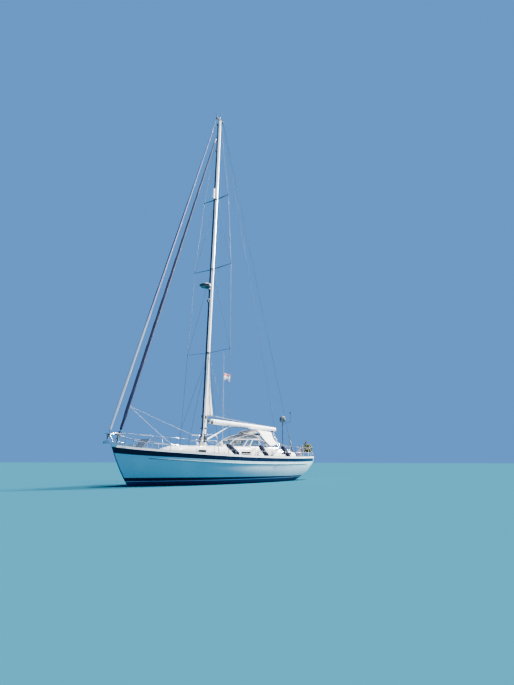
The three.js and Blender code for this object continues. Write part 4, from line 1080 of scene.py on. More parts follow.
HOOD_SHARES = [math.sin(math.pi * k / 2 / HOOD_HALF) for k in range(-HOOD_HALF, HOOD_HALF + 1)]
hood_rows = []
for step in range(HOOD_STEPS + 1):
    x = HOOD_FORE - HOOD_LONG * step / HOOD_STEPS
    hood_rows.append([hood_point(x, share, hood_inset(x, share)) for share in HOOD_SHARES])
# The hood cloth takes the canvas darkened as painted shade.
sprayhood_cloth = sewn(
    "sprayhood_cloth", hood_rows, GREY_CANVAS_WITH_PAINTED_SHADE, 0.004, instead=("sprayhood",), opening=in_side_window
)
side_windows = Form()
bindings = Form()
first, last = SIDE_COLUMNS
for columns in (range(first, last + 1), range(2 * HOOD_HALF - last, 2 * HOOD_HALF + 1 - first)):
    rows = hood_rows[SIDE_ROWS[0] : SIDE_ROWS[1] + 1]
    patch = [moved([row[j] for j in columns], z=0.001) for row in rows]
    side_windows.cloth(patch)
    border = patch[0] + [row[-1] for row in patch[1:-1]] + patch[-1][::-1]
    border += [row[0] for row in patch[-2:0:-1]]
    bindings.tube([p + Vector((0, math.copysign(0.004, p.y), 0.002)) for p in border], 0.014, 8, True)
hood_windows = made(
    "sprayhood_side_windows", side_windows, CLEAR_VINYL, thick=0.0015, open_cloth=True, crease=60
)
hood_bindings = made("sprayhood_bindings", bindings, WHITE_CANVAS, crease=80)

hood_edges = Form()
middle_row = hood_rows[HOOD_STEPS // 2]
hood_edges.tube(moved(hood_rows[-1], x=-0.004, z=0.002), 0.011)
for side in (0, -1):
    hood_edges.tube(moved([row[side] for row in hood_rows], z=0.004), 0.009)
hood_edges.tube(moved(middle_row, z=0.002), 0.006, 6)
hood_piping = made("sprayhood_piping", hood_edges, PIPING, crease=80)
seam_paths = [moved(middle_row[12:37], x=shift, z=0.003) for shift in (-0.022, 0.022)]
seam_paths += [moved(hood_rows[row][2:47], z=0.003) for row in (1, HOOD_STEPS - 1)]
set_along("sprayhood_stitches", seam_paths, bead(0.013, 0.0022), 0.024, SHEET_ROPE)

CLEAR_FOOT = [
    # share across, x, y of the foot of the clear front
    (1.00, -1.690, 1.110),
    (0.97, -1.230, 1.065),
    (0.82, -1.030, 0.885),
    (0.50, -0.460, 0.405),
    (0.00, -0.452, 0.000),
]
CLEAR_FOOT_Z = 2.2563
CLEAR_CROWN = 0.026
CLEAR_STEPS = 14


def clear_point(share, up):
    """A point of the clear front, from its foot on the windscreen to the fore bow."""
    _, x, y = table_at(CLEAR_FOOT, abs(share))
    foot = Vector((x - 0.002, math.copysign(y, share) * 0.997, CLEAR_FOOT_Z))
    head = hood_point(-1.8497, share, 0.003)
    return foot.lerp(head, up) + Vector((0, 0, CLEAR_CROWN * 4 * up * (1 - up) - 0.002))


CLEAR_SHARES = sorted({*HOOD_SHARES, 0.97, 0.82, 0.50, -0.50, -0.82, -0.97})
clear_rows = []
for step in range(CLEAR_STEPS + 1):
    clear_rows.append([clear_point(share, step / CLEAR_STEPS) for share in CLEAR_SHARES])
clear_front = sewn(
    "sprayhood_clear_front", clear_rows, CLEAR_VINYL, 0.0015, instead=("sprayhood_window",)
)
clear_edges = Form()
clear_edges.tube(moved(clear_rows[-1], x=0.003, z=0.003), 0.014, 10)
clear_edges.tube(moved(clear_rows[0], z=0.010), 0.012, 8)
for share in (0.97, 0.50, -0.50, -0.97):
    column = CLEAR_SHARES.index(share)
    clear_edges.tube(moved([row[column] for row in clear_rows], z=0.002), 0.007, 8)
clear_bindings = made("sprayhood_front_bindings", clear_edges, WHITE_CANVAS, crease=80)
hood_head = [moved(row, z=0.004) for row in clear_rows[CLEAR_STEPS // 2 :]]
# The upper half of the clear front is covered with the same canvas, darkened as painted shade.
head_cloth = sewn("sprayhood_front_canvas", hood_head, GREY_CANVAS_WITH_PAINTED_SHADE, 0.003)

STRAP_THICK = 0.003


def strap(form, path, wide):
    """Flat webbing along a path, its width standing upright."""
    out = Vector((0, STRAP_THICK / 2, 0))
    rings = []
    for i, point in enumerate(path):
        ahead = path[min(i + 1, len(path) - 1)] - path[max(i - 1, 0)]
        across = ahead.cross(Vector((0, 1, 0))).normalized() * wide / 2
        low, high = point - across, point + across
        rings.append([low - out, high - out, high + out, low + out])
    form.skin(rings)


hood_straps = Form()
for side in (1, -1):
    head = hood_point(-1.870, 0.93 * side, -0.004)
    foot = Vector((-2.780, side * 1.235, 1.850))
    strap(hood_straps, [head.lerp(foot, k / 10) for k in range(11)], 0.038)
made("sprayhood_straps", hood_straps, WHITE_CANVAS, crease=60)

# Awning: one sheet over three bows, its fore edge straight across and its sides drawn down low

AWNING = [
    # y, z at the fore edge, x of the fore edge, x of the aft edge, lift of the aft edge
    (1.640, 1.900, -2.200, -2.860, 0.210),
    (1.330, 2.110, -2.230, -3.020, 0.120),
    (1.010, 2.400, -2.260, -3.260, 0.050),
    (0.720, 2.740, -2.300, -3.520, 0.0),
    (0.400, 2.822, -2.330, -3.830, 0.0),
    (0.0, 2.845, -2.350, -4.050, 0.0),
]
AWNING_SAG = [(1.0, 0.030), (0.667, 0.0), (0.333, -0.010), (0.0, 0.0)]
AWNING_BOWS = (-2.270, -2.960, -3.600)
AWNING_HALF = 30  # cells from the awning's middle to one side
AWNING_STEPS = 40
AWNING_SEAMS = (14, 46)
awning_mirror = [(-y, *rest) for y, *rest in reversed(AWNING[:-1])]
awning_arch = curve_through(AWNING + awning_mirror, 2 * AWNING_HALF)


def awning_point(index, share):
    """A point of the cloth: slack between the bows, with folds that run down to the corners."""
    y, z, fore, aft, lift = awning_arch[index]
    x = fore + (aft - fore) * share
    low = abs(index - AWNING_HALF) / AWNING_HALF
    slack = 0.0
    for start, end in zip(AWNING_BOWS, AWNING_BOWS[1:]):
        if end < x < start:
            slack = math.sin(math.pi * (start - x) / (start - end)) ** 2
    fold = 0.005 * low * wobble(5, x * 9.0 + low * 6.0, x * 17.0 - low * 9.0)
    inset = 0.008 + 0.011 * slack * (1.0 - 0.5 * low) + fold
    side = math.copysign(inset * 0.8, y) if abs(y) > 0.01 else 0.0
    return Vector((x, y - side, z + lift * share - table_at(AWNING_SAG, share)[1] - inset * 0.6))


awning_rows = []
for step in range(AWNING_STEPS + 1):
    awning_rows.append([awning_point(index, step / AWNING_STEPS) for index in range(2 * AWNING_HALF + 1)])
awning_cloth = sewn("awning_cloth", awning_rows, WHITE_CANVAS, 0.003, instead=("bimini",))
awning_sides = [[row[side] for row in awning_rows] for side in (0, -1)]
hems = Form()
for border in (awning_rows[0], awning_rows[-1], *awning_sides):
    hems.tube(moved(border, z=-0.002), 0.009)
for index in (AWNING_SEAMS[0], AWNING_HALF, AWNING_SEAMS[1]):
    hems.tube(moved([row[index] for row in awning_rows], z=0.003), 0.004, 6)
awning_hems = made("awning_bolt_ropes", hems, WHITE_CANVAS, crease=80)
hem_paths = [moved(awning_rows[row], x=shift, z=0.003) for row, shift in ((0, -0.05), (-1, 0.05))]
for index in AWNING_SEAMS:
    seam = [row[index] for row in awning_rows]
    hem_paths += [moved(seam, y=shift, z=0.003) for shift in (-0.02, 0.02)]
set_along("awning_stitches", hem_paths, bead(0.014, 0.0022), 0.028, SHEET_ROPE)
ties = Form()
for row, reach in ((0, 0.25), (-1, -0.25)):
    for side in (0, -1):
        start = awning_rows[row][side]
        hand = 1 if start.y > 0 else -1
        end = deck_edge(start.x + reach, hand, 0.03, 0.640)
        ties.tube([start, start.lerp(end, 0.5) + Vector((0, 0, -0.01)), end], 0.005, 6)
made("awning_ties", ties, SHEET_ROPE, crease=80)

# Mainsail: furled in the mast, its clew standing out of the slot


def slot_at(z, aft=0.0):
    return on_mast(z, -MAST_FORE_AFT / 2 - aft)


CLEW_STEPS = 24
CLEW_CELLS = 14
clew_rows = []
for step in range(CLEW_STEPS + 1):
    t = step / CLEW_STEPS
    reach = 0.06 + 0.50 * t**1.35
    row = []
    for k in range(CLEW_CELLS + 1):
        s = k / CLEW_CELLS
        fold = 0.030 * math.sin(9.0 * s + 2.5 * t) * s * (1 - 0.5 * t)
        fold += 0.012 * wobble(7, 14 * s, 9 * t)
        row.append(slot_at(6.10 - 2.72 * t, -0.010 + reach * s) + Vector((0, fold, 0.05 * s * s)))
    clew_rows.append(row)
mainsail_clew = sewn("mainsail_clew", clew_rows, SAIL_WHITE, 0.004, crease=70)
clew = clew_rows[-1][-1]
clew_tape = Form()
clew_tape.tube([row[-1] for row in clew_rows], 0.007)
clew_tape.tube(clew_rows[-1], 0.007)
clew_eye = [clew + Vector((0.03 * math.cos(a), 0, 0.03 * math.sin(a))) for a in turns(14)]
clew_tape.tube(clew_eye, 0.006, 6, True)
made("mainsail_clew_tape", clew_tape, PIPING, crease=70)

SLOT_HALF = 0.011
SLOT_LIP = [(0, -SLOT_HALF, 0), (0.01, -SLOT_HALF, 0), (0.01, SLOT_HALF, 0), (0, SLOT_HALF, 0)]
mast_slot = Form()
for low, high in ((3.42, 6.66), (6.80, 11.46), (11.60, 15.78), (15.92, 20.95)):
    # A small stop at the foot of each stretch
    mast_slot.block(on_mast(low, -0.1345, -SLOT_HALF), on_mast(low, -0.1290, SLOT_HALF, 0.01))
    mast_slot.bar([slot_at(low, 0.0025), slot_at(high, 0.0025)], SLOT_LIP)
made("mast_sail_slot", mast_slot, RUBBER)

# Running rigging


def line(name, path, radius, finish, body="hull"):
    return made(name, Form().tube(path, radius, 7), finish, body=body, crease=80)


def run_between(start, end, sag=0.0, count=14):
    path = []
    for i in range(count + 1):
        drop = sag * math.sin(math.pi * i / count)
        path.append(Vector(start).lerp(Vector(end), i / count) + Vector((0, 0, -drop)))
    return path


MAST_HALYARDS = [
    # degrees round the mast from its front, height of the lower end, of the upper end
    (-30, 2.62, 20.9),
    (-18, 2.30, 18.6),
    (-6, 2.45, 21.0),
    (6, 2.30, 20.9),
    (20, 2.50, 21.0),
    (38, 2.62, 20.9),
]
halyards = Form()
for degrees, low, high in MAST_HALYARDS:
    turn = math.radians(degrees)
    ahead, across = 0.143 * math.cos(turn), -0.098 * math.sin(turn)
    halyards.tube([on_mast(z, ahead, across) for z in (low, 6.0, 11.0, 16.0, high)], 0.0088, 7)
made("mast_halyards", halyards, DARK_ROPE, crease=80)

genoa_clew = up_stay(FORESTAY, 0.085) + Vector((-0.07, 0, 0))
sheets = Form()
for side in (1, -1):
    block = deck_edge(1.05, side, 0.25, 0.16)
    winch_place = Vector((-2.15, side * 1.155, 1.905))
    sheets.tube(run_between(genoa_clew, block, 0.06), 0.0045)
    sheets.tube([block, deck_edge(-0.6, side, 0.30, 0.20), winch_place], 0.0065)
made("genoa_sheets", sheets, SHEET_ROPE, crease=80)
furling_path = [(7.02, 0.07, 2.10), deck_edge(5.15, 1, 0.05, 0.16), deck_edge(2.9, 1, 0.05, 0.15)]
furling_path += [deck_edge(0.0, 1, 0.05, 0.15), (-2.3, 1.16, 1.90)]
line("furling_line", furling_path, 0.005, DARK_ROPE)

topping_path = run_between(on_mast(MAST_TOP, -0.30, 0, 0.02), boom_at(-4.93, 0.105), 0.0, 40)
topping = line("topping_lift", topping_path, 0.0050, WIRE, None)
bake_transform(topping)
outhaul = line("outhaul", run_between(clew, boom_at(-4.85, 0.125), 0.02, 30), 0.0065, SHEET_ROPE, None)
boom_at(-0.9, 0.2)
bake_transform(outhaul)

TRAVELLER = roof_at(AFT_COACHROOF, -5.55, 0.0, 0.075)
mainsheet = Form()
for dy, dx in ((0.022, 0.0), (-0.022, 0.012), (0.0, 0.10), (0.0, -0.04)):
    low = TRAVELLER + Vector((dx * 0.5, dy, 0.03))
    mainsheet.tube(run_between(low, boom_at(-4.72 - dx, -0.17) + Vector((0, dy, 0)), 0.0, 20), 0.0065)
mainsheet_rope = made("mainsheet", mainsheet, SHEET_ROPE, body=None, crease=80)
boom_at(-4.72, -0.17)
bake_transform(mainsheet_rope)

traveller = Form()
traveller.block((-5.575, -0.60, 1.742), (-5.525, 0.60, 1.772))
traveller.block((-5.600, -0.06, 1.768), (-5.500, 0.06, 1.800))
for y in (-0.56, 0.0, 0.56):
    low = roof_at(AFT_COACHROOF, -5.55, y).z - 0.01
    traveller.block((-5.585, y - 0.03, low), (-5.515, y + 0.03, 1.745))
pulley = [(-0.035, 0.02), (-0.03, 0.04), (0.03, 0.04), (0.035, 0.02)]
traveller.turned(pulley, TRAVELLER + Vector((0, 0, 0.02)), (0, 1, 0), 16)
made("mainsheet_track", traveller, DARK_ALLOY, bevel=0.003)


def sheave(form, at, size=0.042):
    """A block: two cheeks and the wheel between them."""
    for side in (-1, 1):
        middle = side * 0.018
        cheek = [(middle - 0.004, size * 0.8), (middle, size), (middle + 0.004, size * 0.8)]
        form.turned(cheek, at, (0, 1, 0), 16)
    form.turned([(-0.014, size * 0.7), (0, size * 0.55), (0.014, size * 0.7)], at, (0, 1, 0), 16)


boom_blocks = Form()
for x in (-4.72, -4.62):
    sheave(boom_blocks, boom_at(x, -0.155))
    boom_blocks.tube([boom_at(x, -0.150), boom_at(x, -0.095)], 0.008)
sheave(boom_blocks, boom_at(-4.93, 0.095), 0.036)
for x0, low, x1, high, half in (
    (-5.024, -0.108, -4.985, 0.108, 0.073),
    (-1.40, 0.135, -1.15, 0.160, 0.030),
    (-0.11, 0.130, 0.04, 0.205, 0.035),
):
    boom_blocks.block(boom_at(x0, low) - Vector((0, half, 0)), boom_at(x1, high) + Vector((0, half, 0)))
made("boom_fittings", boom_blocks, DARK_ALLOY, body="boom", bevel=0.004)
boom_cap_rings = []
for x in (1.119, 0.920):
    ring = []
    for turn in turns(32):
        across, up = math.cos(turn), math.sin(turn)
        wide = math.copysign(0.092 * abs(across) ** 0.8, across)
        ring.append(boom_at(x, math.copysign(0.149 * abs(up) ** 0.8, up)) + Vector((0, wide, 0)))
    boom_cap_rings.append(ring)
made("boom_inboard_cap", Form().skin(boom_cap_rings), DARK_ALLOY, body="boom", crease=40)
groove_path = [boom_at(x, low) for x, low in ((1.09, -0.1425), (-2.5, -0.1345), (-4.95, -0.1065))]
boom_groove = Form().bar(groove_path, flat_section(-0.020, 0.020, 0, 0.012))
made("boom_underside_groove", boom_groove, RUBBER, body="boom")

# Mast furniture

mast_gear = Form()
mast_winch = [(0, 0.055), (0.02, 0.055), (0.035, 0.038), (0.10, 0.034)]
mast_winch += [(0.12, 0.046), (0.135, 0.044), (0.14, 0.02)]
for z in (2.42, 2.74):
    for side in (1, -1):
        mast_gear.turned(mast_winch, on_mast(z, 0.01, side * 0.078), (0, side, 0), 20)
for z in (2.12, 3.02, 3.30):
    for side in (1, -1):
        middle = side * 0.086
        mast_gear.block(on_mast(z, 0.03, middle - 0.012), on_mast(z, 0.055, middle + 0.012, 0.15))
for z in (18.95, 20.75):
    mast_gear.block(on_mast(z, 0.10, -0.035), on_mast(z, 0.23, 0.035, 0.09))
for z, y in ((3.28, 0.104), (3.36, -0.104)):
    mast_gear.block(on_mast(z, -0.05, y - 0.030, -0.05), on_mast(z, 0.05, y + 0.030, 0.09))
mast_gear.block(on_mast(9.62, 0.11, -0.045, -0.07), on_mast(9.62, 0.23, 0.045, 0.08))
mast_gear.block(on_mast(3.13, -0.20, -0.045, -0.175), on_mast(3.13, -0.118, 0.045, 0.17))
mast_gear.block(on_mast(3.30, 0.117, -0.034, -0.20), on_mast(3.30, 0.165, 0.034, 0.08))
handle = [
    on_mast(3.3, 0.19, -0.05, 0.10),
    on_mast(3.2, 0.17, 0.0, 0.02),
    on_mast(3.05, 0.14, 0.04, -0.01),
]
mast_gear.tube(handle, 0.022, 10)
made("mast_winches_and_cleats", mast_gear, DARK_ALLOY, bevel=0.004)


def mast_ring(z, grow):
    """A ring round the mast at one height, standing off its surface."""
    long, wide = MAST_FORE_AFT / 2 + grow, MAST_ACROSS / 2 + grow
    return [on_mast(z, long * math.cos(a), wide * math.sin(a)) for a in turns(32)]


foot_z = roof_at(COACHROOF, 1.6, 0).z
coat_steps = [(-0.022, 0.086), (0.020, 0.084), (0.060, 0.076), (0.110, 0.058), (0.170, 0.036)]
coat_steps += [(0.225, 0.020), (0.260, 0.013), (0.268, 0.019), (0.300, 0.019), (0.308, 0.012)]
coat_rings = [mast_ring(foot_z + up, grow) for up, grow in coat_steps]
for ring, (_, grow) in zip(coat_rings, coat_steps):
    crumple = grow / 0.08
    for k, point in enumerate(ring):
        point += Vector((0.005 * crumple * math.sin(k * 2.3), 0.004 * crumple * math.sin(k * 3.1), 0))
made("mast_coat", Form().skin(coat_rings), SAIL_WHITE, crease=70)

# Dark bags hung on both sides of the mast foot: halyard bags, which also stand for the shade on the lower
# mast as painted shade.
HALYARD_BAG = [
    # height, half length, half depth
    (2.355, 0.100, 0.030),
    (2.350, 0.118, 0.042),
    (2.300, 0.124, 0.048),
    (2.220, 0.130, 0.058),
    (2.140, 0.138, 0.068),
    (2.085, 0.132, 0.066),
    (2.050, 0.108, 0.052),
    (2.035, 0.070, 0.030),
]
for name, side in (("port", 1), ("starboard", -1)):
    rings = []
    for z, long, deep in HALYARD_BAG:
        middle = on_mast(z, 0.020, side * (MAST_ACROSS / 2 + 0.004 + deep))
        ring = []
        for a in turns(28):
            pull = 1 + 0.035 * math.sin(5 * a + 19 * z) * math.sin(7 * z)
            shift = (long * pull * math.cos(a), deep * pull * math.sin(a), 0.006 * math.sin(3 * a))
            ring.append(middle + Vector(shift))
        rings.append(ring)
    bag = made(f"halyard_bag_{name}", Form().skin(rings), BAG_CANVAS_WITH_PAINTED_SHADE, crease=60, smooth=1)

GUARD_HOOP = [
    # x, y, z of the port hoop beside the mast
    (1.15, 0.55, 1.84),
    (1.15, 0.55, 2.32),
    (1.32, 0.50, 2.42),
    (1.80, 0.50, 2.42),
    (1.98, 0.55, 2.32),
    (1.98, 0.55, 1.83),
]
hoops = Form()
for side in (1, -1):
    hoops.tube([(x, side * y, z) for x, y, z in GUARD_HOOP], 0.014, 10)
    hoops.tube([(x, side * 0.55, 2.12) for x in (1.15, 1.98)], 0.010, 10)
made("mast_guard_hoops", hoops, STAINLESS, crease=60)

lights = Form()
masthead_lamp = [(0, 0.035), (0.01, 0.045), (0.07, 0.045), (0.09, 0.02)]
lights.turned(masthead_lamp, (mast_x(21.3) + 0.02, 0, MAST_TOP + 0.15), sides=16)
steaming_lamp = [(0, 0.04), (0.03, 0.055), (0.06, 0.05), (0.08, 0.02)]
lights.turned(steaming_lamp, on_mast(10.0, 0.14, 0, -0.30), sides=16)
made("mast_lights", lights, PLASTIC)
joint = [(-0.034, 0.3015), (-0.022, 0.3025), (-0.010, 0.3005)]
made("radome_joint", Form().turned(joint, (1.764, 0, 10.46), sides=40), RUBBER)

# Shroud ends

CHAIN_X = 1.600
SCREW = [(0, 0.018), (0.01, 0.026), (0.05, 0.026), (0.06, 0.012), (0.10, 0.012), (0.11, 0.021)]
SCREW += [(0.34, 0.021), (0.35, 0.012), (0.40, 0.012), (0.41, 0.018), (0.53, 0.016), (0.56, 0.010)]
screws = Form()
for side in (1, -1):
    for x, to_spreader in ((CHAIN_X, True), (CHAIN_X + 0.62, False), (CHAIN_X - 0.56, False)):
        base = Vector((x, side * (table_at(SHEER_LINE, x)[1] - 0.400), 1.300))
        z, half = SPREADERS[0]
        if to_spreader:
            top = on_mast(z, -0.026, side * (half + 0.009), 0.074)
        else:
            top = on_mast(z - 0.190, 0.0, side * (MAST_ACROSS / 2 - 0.020))
        up = (top - base).normalized()
        at = base + up * ((deck_at(x, base.y).z + 0.045 - base.z) / up.z)
        screws.turned(SCREW, at, up, 14)
        plate = [(0, 0.050), (0.010, 0.046), (0.028, 0.030), (0.045, 0.026)]
        screws.turned(plate, deck_at(x, base.y, -0.006), sides=16)
made("shroud_turnbuckles", screws, STEEL_WITH_PAINTED_SHADE)
tips = Form()
tip_boot = [(-0.035, 0.012), (-0.025, 0.024), (0.025, 0.024), (0.035, 0.012)]
for z, half in SPREADERS:
    for side in (1, -1):
        tips.turned(tip_boot, on_mast(z, -0.026, side * (half + 0.006), 0.074), sides=14)
made("spreader_tip_boots", tips, RUBBER)
foot, head = Vector((-7.045, 0, 1.330)), on_mast(MAST_TOP, -0.300, 0, 0.030)
up = (head - foot).normalized()
adjuster = [(0.10, 0.018), (0.12, 0.030), (0.30, 0.030), (0.33, 0.048), (1.02, 0.048), (1.06, 0.026)]
adjuster += [(1.20, 0.022), (1.34, 0.018), (1.36, 0.042), (1.44, 0.042), (1.46, 0.012)]
backstay_gear = Form().turned(adjuster, foot, up, 18)
sleeve = [(0, 0.010), (0.02, 0.020), (0.16, 0.020), (0.18, 0.010)]
for s in (2.6, 17.6):
    backstay_gear.turned(sleeve, foot + up * s, up, 14)
made("backstay_adjuster", backstay_gear, DARK_ALLOY)

# Fenders, lifebuoy and flags

FENDERS = [
    # foot x, foot y, head x, head y, head z
    (1.250, 1.930, 1.330, 1.450, 1.790),
    (-1.240, 1.960, -1.400, 1.470, 1.800),
    (-3.530, 1.860, -3.680, 1.400, 1.830),
]
fender_lines = Form()
fender_eyes = Form()
eye = [(-0.02, 0.018), (-0.015, 0.030), (0.015, 0.030), (0.02, 0.018)]
for number, (x0, y0, x1, y1, z1) in enumerate(FENDERS, 1):
    foot = Vector((x0, y0, deck_at(x0, y0).z + 0.136))
    head = Vector((x1, y1, z1 + 0.060))
    long = (head - foot).length
    way = (head - foot).normalized()
    outline = [(-0.126, 0.030), (-0.108, 0.078), (-0.070, 0.108), (-0.020, 0.120)]
    for share in (0.15, 0.35, 0.55, 0.75, 0.92):
        outline.append((long * share, 0.120 + 0.003 * math.sin(9 * share)))
    for reach, size in ((0.030, 0.104), (0.075, 0.070), (0.095, 0.050), (0.110, 0.030)):
        outline.append((long + reach, size))
    sock = Form().tube([foot + way * s for s, _ in outline], [r for _, r in outline], 26)
    made(f"fender_{number}_sock", sock, SOCK, instead=(f"fender_{number}",), crease=60)
    for s in (-0.115, long + 0.125):
        fender_eyes.turned(eye, foot + way * s, way, 16)
    hook = deck_edge(x1 + 0.16, 1, 0.03, 0.640)
    lanyard = [head + way * 0.12, head + way * 0.17 + Vector((0.02, 0.05, 0.01))]
    lanyard += [hook + Vector((0, -0.01, -0.02)), hook + Vector((0, 0.014, 0.004))]
    fender_lines.tube(lanyard, 0.005, 6)
made("fender_ends", fender_eyes, RUBBER)
made("fender_lanyards", fender_lines, SHEET_ROPE, crease=80)

BUOY = Vector((-7.279, 1.000, 1.860))
BUOY_STEPS = 30
buoy_path = []
for k in range(BUOY_STEPS + 1):
    turn = math.pi * (1.62 * k / BUOY_STEPS - 0.31)
    buoy_path.append(BUOY + Vector((0.002, 0.182 * math.cos(turn), 0.237 * math.sin(turn))))
swell = []
for k in range(BUOY_STEPS + 1):
    swell.append(0.030 + 0.034 * min(1.0, k / 3, (BUOY_STEPS - k) / 3) + 0.0015 * math.sin(k * 2.1))
made("lifebuoy_cover", Form().tube(buoy_path, swell, 18), FOAM_COVER, instead=("lifebuoy",), crease=70)
pocket_rows = []
for k in range(16):
    near, far = buoy_path[15 - k], buoy_path[15 + k]
    row = []
    for j in range(9):
        row.append(near.lerp(far, j / 8) - Vector((0.018 * math.sin(math.pi * j / 8), 0, 0)))
    pocket_rows.append(row)
sewn("lifebuoy_pocket", pocket_rows, FOAM_COVER, 0.010)
tape = Form().tube([BUOY + Vector((0.050, y, 0.020)) for y in (-0.20, -0.10, 0.0, 0.10, 0.20)], 0.014, 8)
made("lifebuoy_tape", tape, PLASTIC, crease=70)
straps = Form()
for k in (3, 27):
    straps.tube(buoy_path[k - 1 : k + 2], 0.0665, 18)
straps.tube(moved([(-0.045, 0.05, -0.05), (-0.055, 0.05, 0.10), (-0.050, 0.0, 0.20)], *BUOY), 0.004, 6)
made("lifebuoy_straps", straps, RUBBER, crease=70)

HALYARD = Vector((mast_x(SPREADERS[0][0]) - 0.010, 1.120, 0.0))
flag_rows = []
for i in range(27):
    s = i / 26
    row = []
    for j in range(17):
        t = j / 16
        wave = 0.030 * s * math.sin(8.5 * s + 2.2 * t) + 0.010 * s * math.sin(21 * s - 5 * t)
        sag = (0.10 * s * s + 0.02 * s * math.sin(6 * s)) * (1 - 0.35 * t) * 0.6
        row.append(HALYARD + Vector((-0.515 * s, wave, 5.555 - 0.385 * t - sag)))
    flag_rows.append(row)
courtesy = sewn("courtesy_flag_cloth", flag_rows, COURTESY, 0.002, 80, ("courtesy_flag",))
roof_z = roof_at(COACHROOF, HALYARD.x, HALYARD.y).z
flag_line = Form()
flag_line.tube([HALYARD + Vector((0, 0, z)) for z in (roof_z - 0.01, 3.0, 4.6, 6.76)], 0.0035, 6)
flag_line.tube([HALYARD + Vector((0.03, 0, z)) for z in (roof_z + 0.02, 3.0, 5.0, 6.76)], 0.0035, 6)
made("flag_halyard", flag_line, SHEET_ROPE, crease=80)

STAFF_FOOT, STAFF_HEAD = Vector((-7.345, 0.700, 1.400)), Vector((-7.585, 0.700, 2.480))
ENSIGN_FLAT = (1.05, 0.70)
LIGHT_AIR = (-0.8, -6.2, -7.6)  # pull on the cloth: its weight, and a light air from port
FALL_FRAMES = 60
BUNTING = {
    "quality": 6,
    "mass": 0.08,
    "tension_stiffness": 12,
    "compression_stiffness": 12,
    "shear_stiffness": 4,
    "bending_stiffness": 0.03,
    "air_damping": 3.0,
    "vertex_group_mass": "hoist",
}


def hung_flag(name, top, foot, fly, out, finish):
    """A flag pinned along its hoist and let fall until it hangs in folds."""
    hoist_steps, fly_steps = 22, 34
    rows = []
    for i in range(fly_steps + 1):
        row = []
        for j in range(hoist_steps + 1):
            across = top.lerp(foot, j / hoist_steps)
            ripple = 0.010 * math.sin(9.0 * i / fly_steps + 4.0 * j / hoist_steps)
            row.append(across + out * (fly * i / fly_steps) + Vector((0, 0, ripple)))
        rows.append(row)
    flag = made(name, Form().cloth(rows), finish, body=None, open_cloth=True, crease=180)
    pins = flag.vertex_groups.new(name="hoist")
    pins.add(list(range(hoist_steps + 1)), 1.0, "REPLACE")
    fall = flag.modifiers.new("fall", "CLOTH")
    for setting, value in BUNTING.items():
        setattr(fall.settings, setting, value)
    fall.collision_settings.use_self_collision = True
    fall.collision_settings.self_distance_min = 0.006
    scene = bpy.context.scene
    still = scene.gravity.copy()
    scene.gravity = LIGHT_AIR
    for step in range(1, FALL_FRAMES + 1):
        scene.frame_set(step)
    hung = bpy.data.meshes.new_from_object(flag.evaluated_get(bpy.context.evaluated_depsgraph_get()))
    flag.modifiers.remove(fall)
    flag.data = hung
    scene.gravity = still
    scene.frame_set(1)
    rounded(flag.data, 180)
    dress(flag, "hull")
    return flag


ensign = hung_flag(
    "ensign_cloth",
    STAFF_HEAD.lerp(STAFF_FOOT, 0.04),
    STAFF_HEAD.lerp(STAFF_FOOT, 0.04 + ENSIGN_FLAT[1] / (STAFF_HEAD - STAFF_FOOT).length),
    ENSIGN_FLAT[0],
    Vector((-0.12, -0.80, -0.58)).normalized(),
    ENSIGN,
)
knob = [(0.0, 0.010), (0.01, 0.024), (0.025, 0.026), (0.04, 0.016), (0.045, 0.004)]
made("ensign_staff_truck", Form().turned(knob, STAFF_HEAD, STAFF_HEAD - STAFF_FOOT, 16), BRONZE)

# Rails: bases, edge strip, plugs and lights


def boot(form, at, size=0.030):
    form.turned([(0, size), (0.008, size), (0.018, size * 0.62), (0.055, size * 0.52)], at, sides=16)


bases = Form()
for x in (5.15, 3.9, 2.9, 1.5, 0.0, -1.5, -2.9, -4.2, -5.4, 5.9, -6.3, -6.85, -7.23):
    for side in (1, -1):
        boot(bases, deck_edge(x, side, 0.030, RAIL_TOP - 0.002))
for side in (1, -1):
    boot(bases, deck_at(4.70, side * 0.255, -0.004), 0.034)
    for x in (1.15, 1.98):
        boot(bases, roof_at(COACHROOF, x, side * 0.55, -0.006))
made("stanchion_bases", bases, STAINLESS)

rub_strip = Form()
plug_paths = []
for side in (1, -1):
    strip = [(x, side * beam, z + RAIL_TOP) for x, beam, z in SHEER_LINE if -7.30 < x < 6.9]
    rub_strip.bar(strip, flat_section(side * -0.004, side * 0.003, -0.004, 0.004))
    plugs = [(x, side * (beam - 0.030), z + RAIL_TOP) for x, beam, z in SHEER_LINE if -7.2 < x < 6.9]
    plug_paths.append(moved(plugs, z=0.0015))
made("cap_rail_edge_strip", rub_strip, STAINLESS, crease=60)
plug_outline = [(-0.006, 0.002), (-0.005, 0.007), (0.005, 0.007), (0.006, 0.002)]
plug = Form().turned(plug_outline, (0, 0, 0), sides=6)
set_along("cap_rail_plugs", plug_paths, plug, 0.30, TEAK)

nav_lights = Form()
for at in ((7.42, 0.265, 2.165), (7.42, -0.265, 2.165), (-7.372, -0.30, 1.97)):
    nav_lights.turned([(0, 0.028), (0.01, 0.036), (0.055, 0.036), (0.07, 0.020)], at, sides=16)
made("rail_lights", nav_lights, RUBBER)

# Cleats, tracks, hatches, vents and handrails


CLEAT_HALF = 0.13


def cleat(form, at, turn=0.0):
    """A cleat with two horns on two feet."""
    way = Vector((math.cos(turn), math.sin(turn), 0))
    for share in (-0.35, 0.35):
        form.turned([(0, 0.016), (0.04, 0.011)], at + way * CLEAT_HALF * share, sides=10)
    horns = ((-1.0, 0.048), (-0.5, 0.046), (0.5, 0.046), (1.0, 0.048))
    path = [at + way * (CLEAT_HALF * share) + Vector((0, 0, up)) for share, up in horns]
    form.tube(path, [0.006, 0.012, 0.012, 0.006], 10)


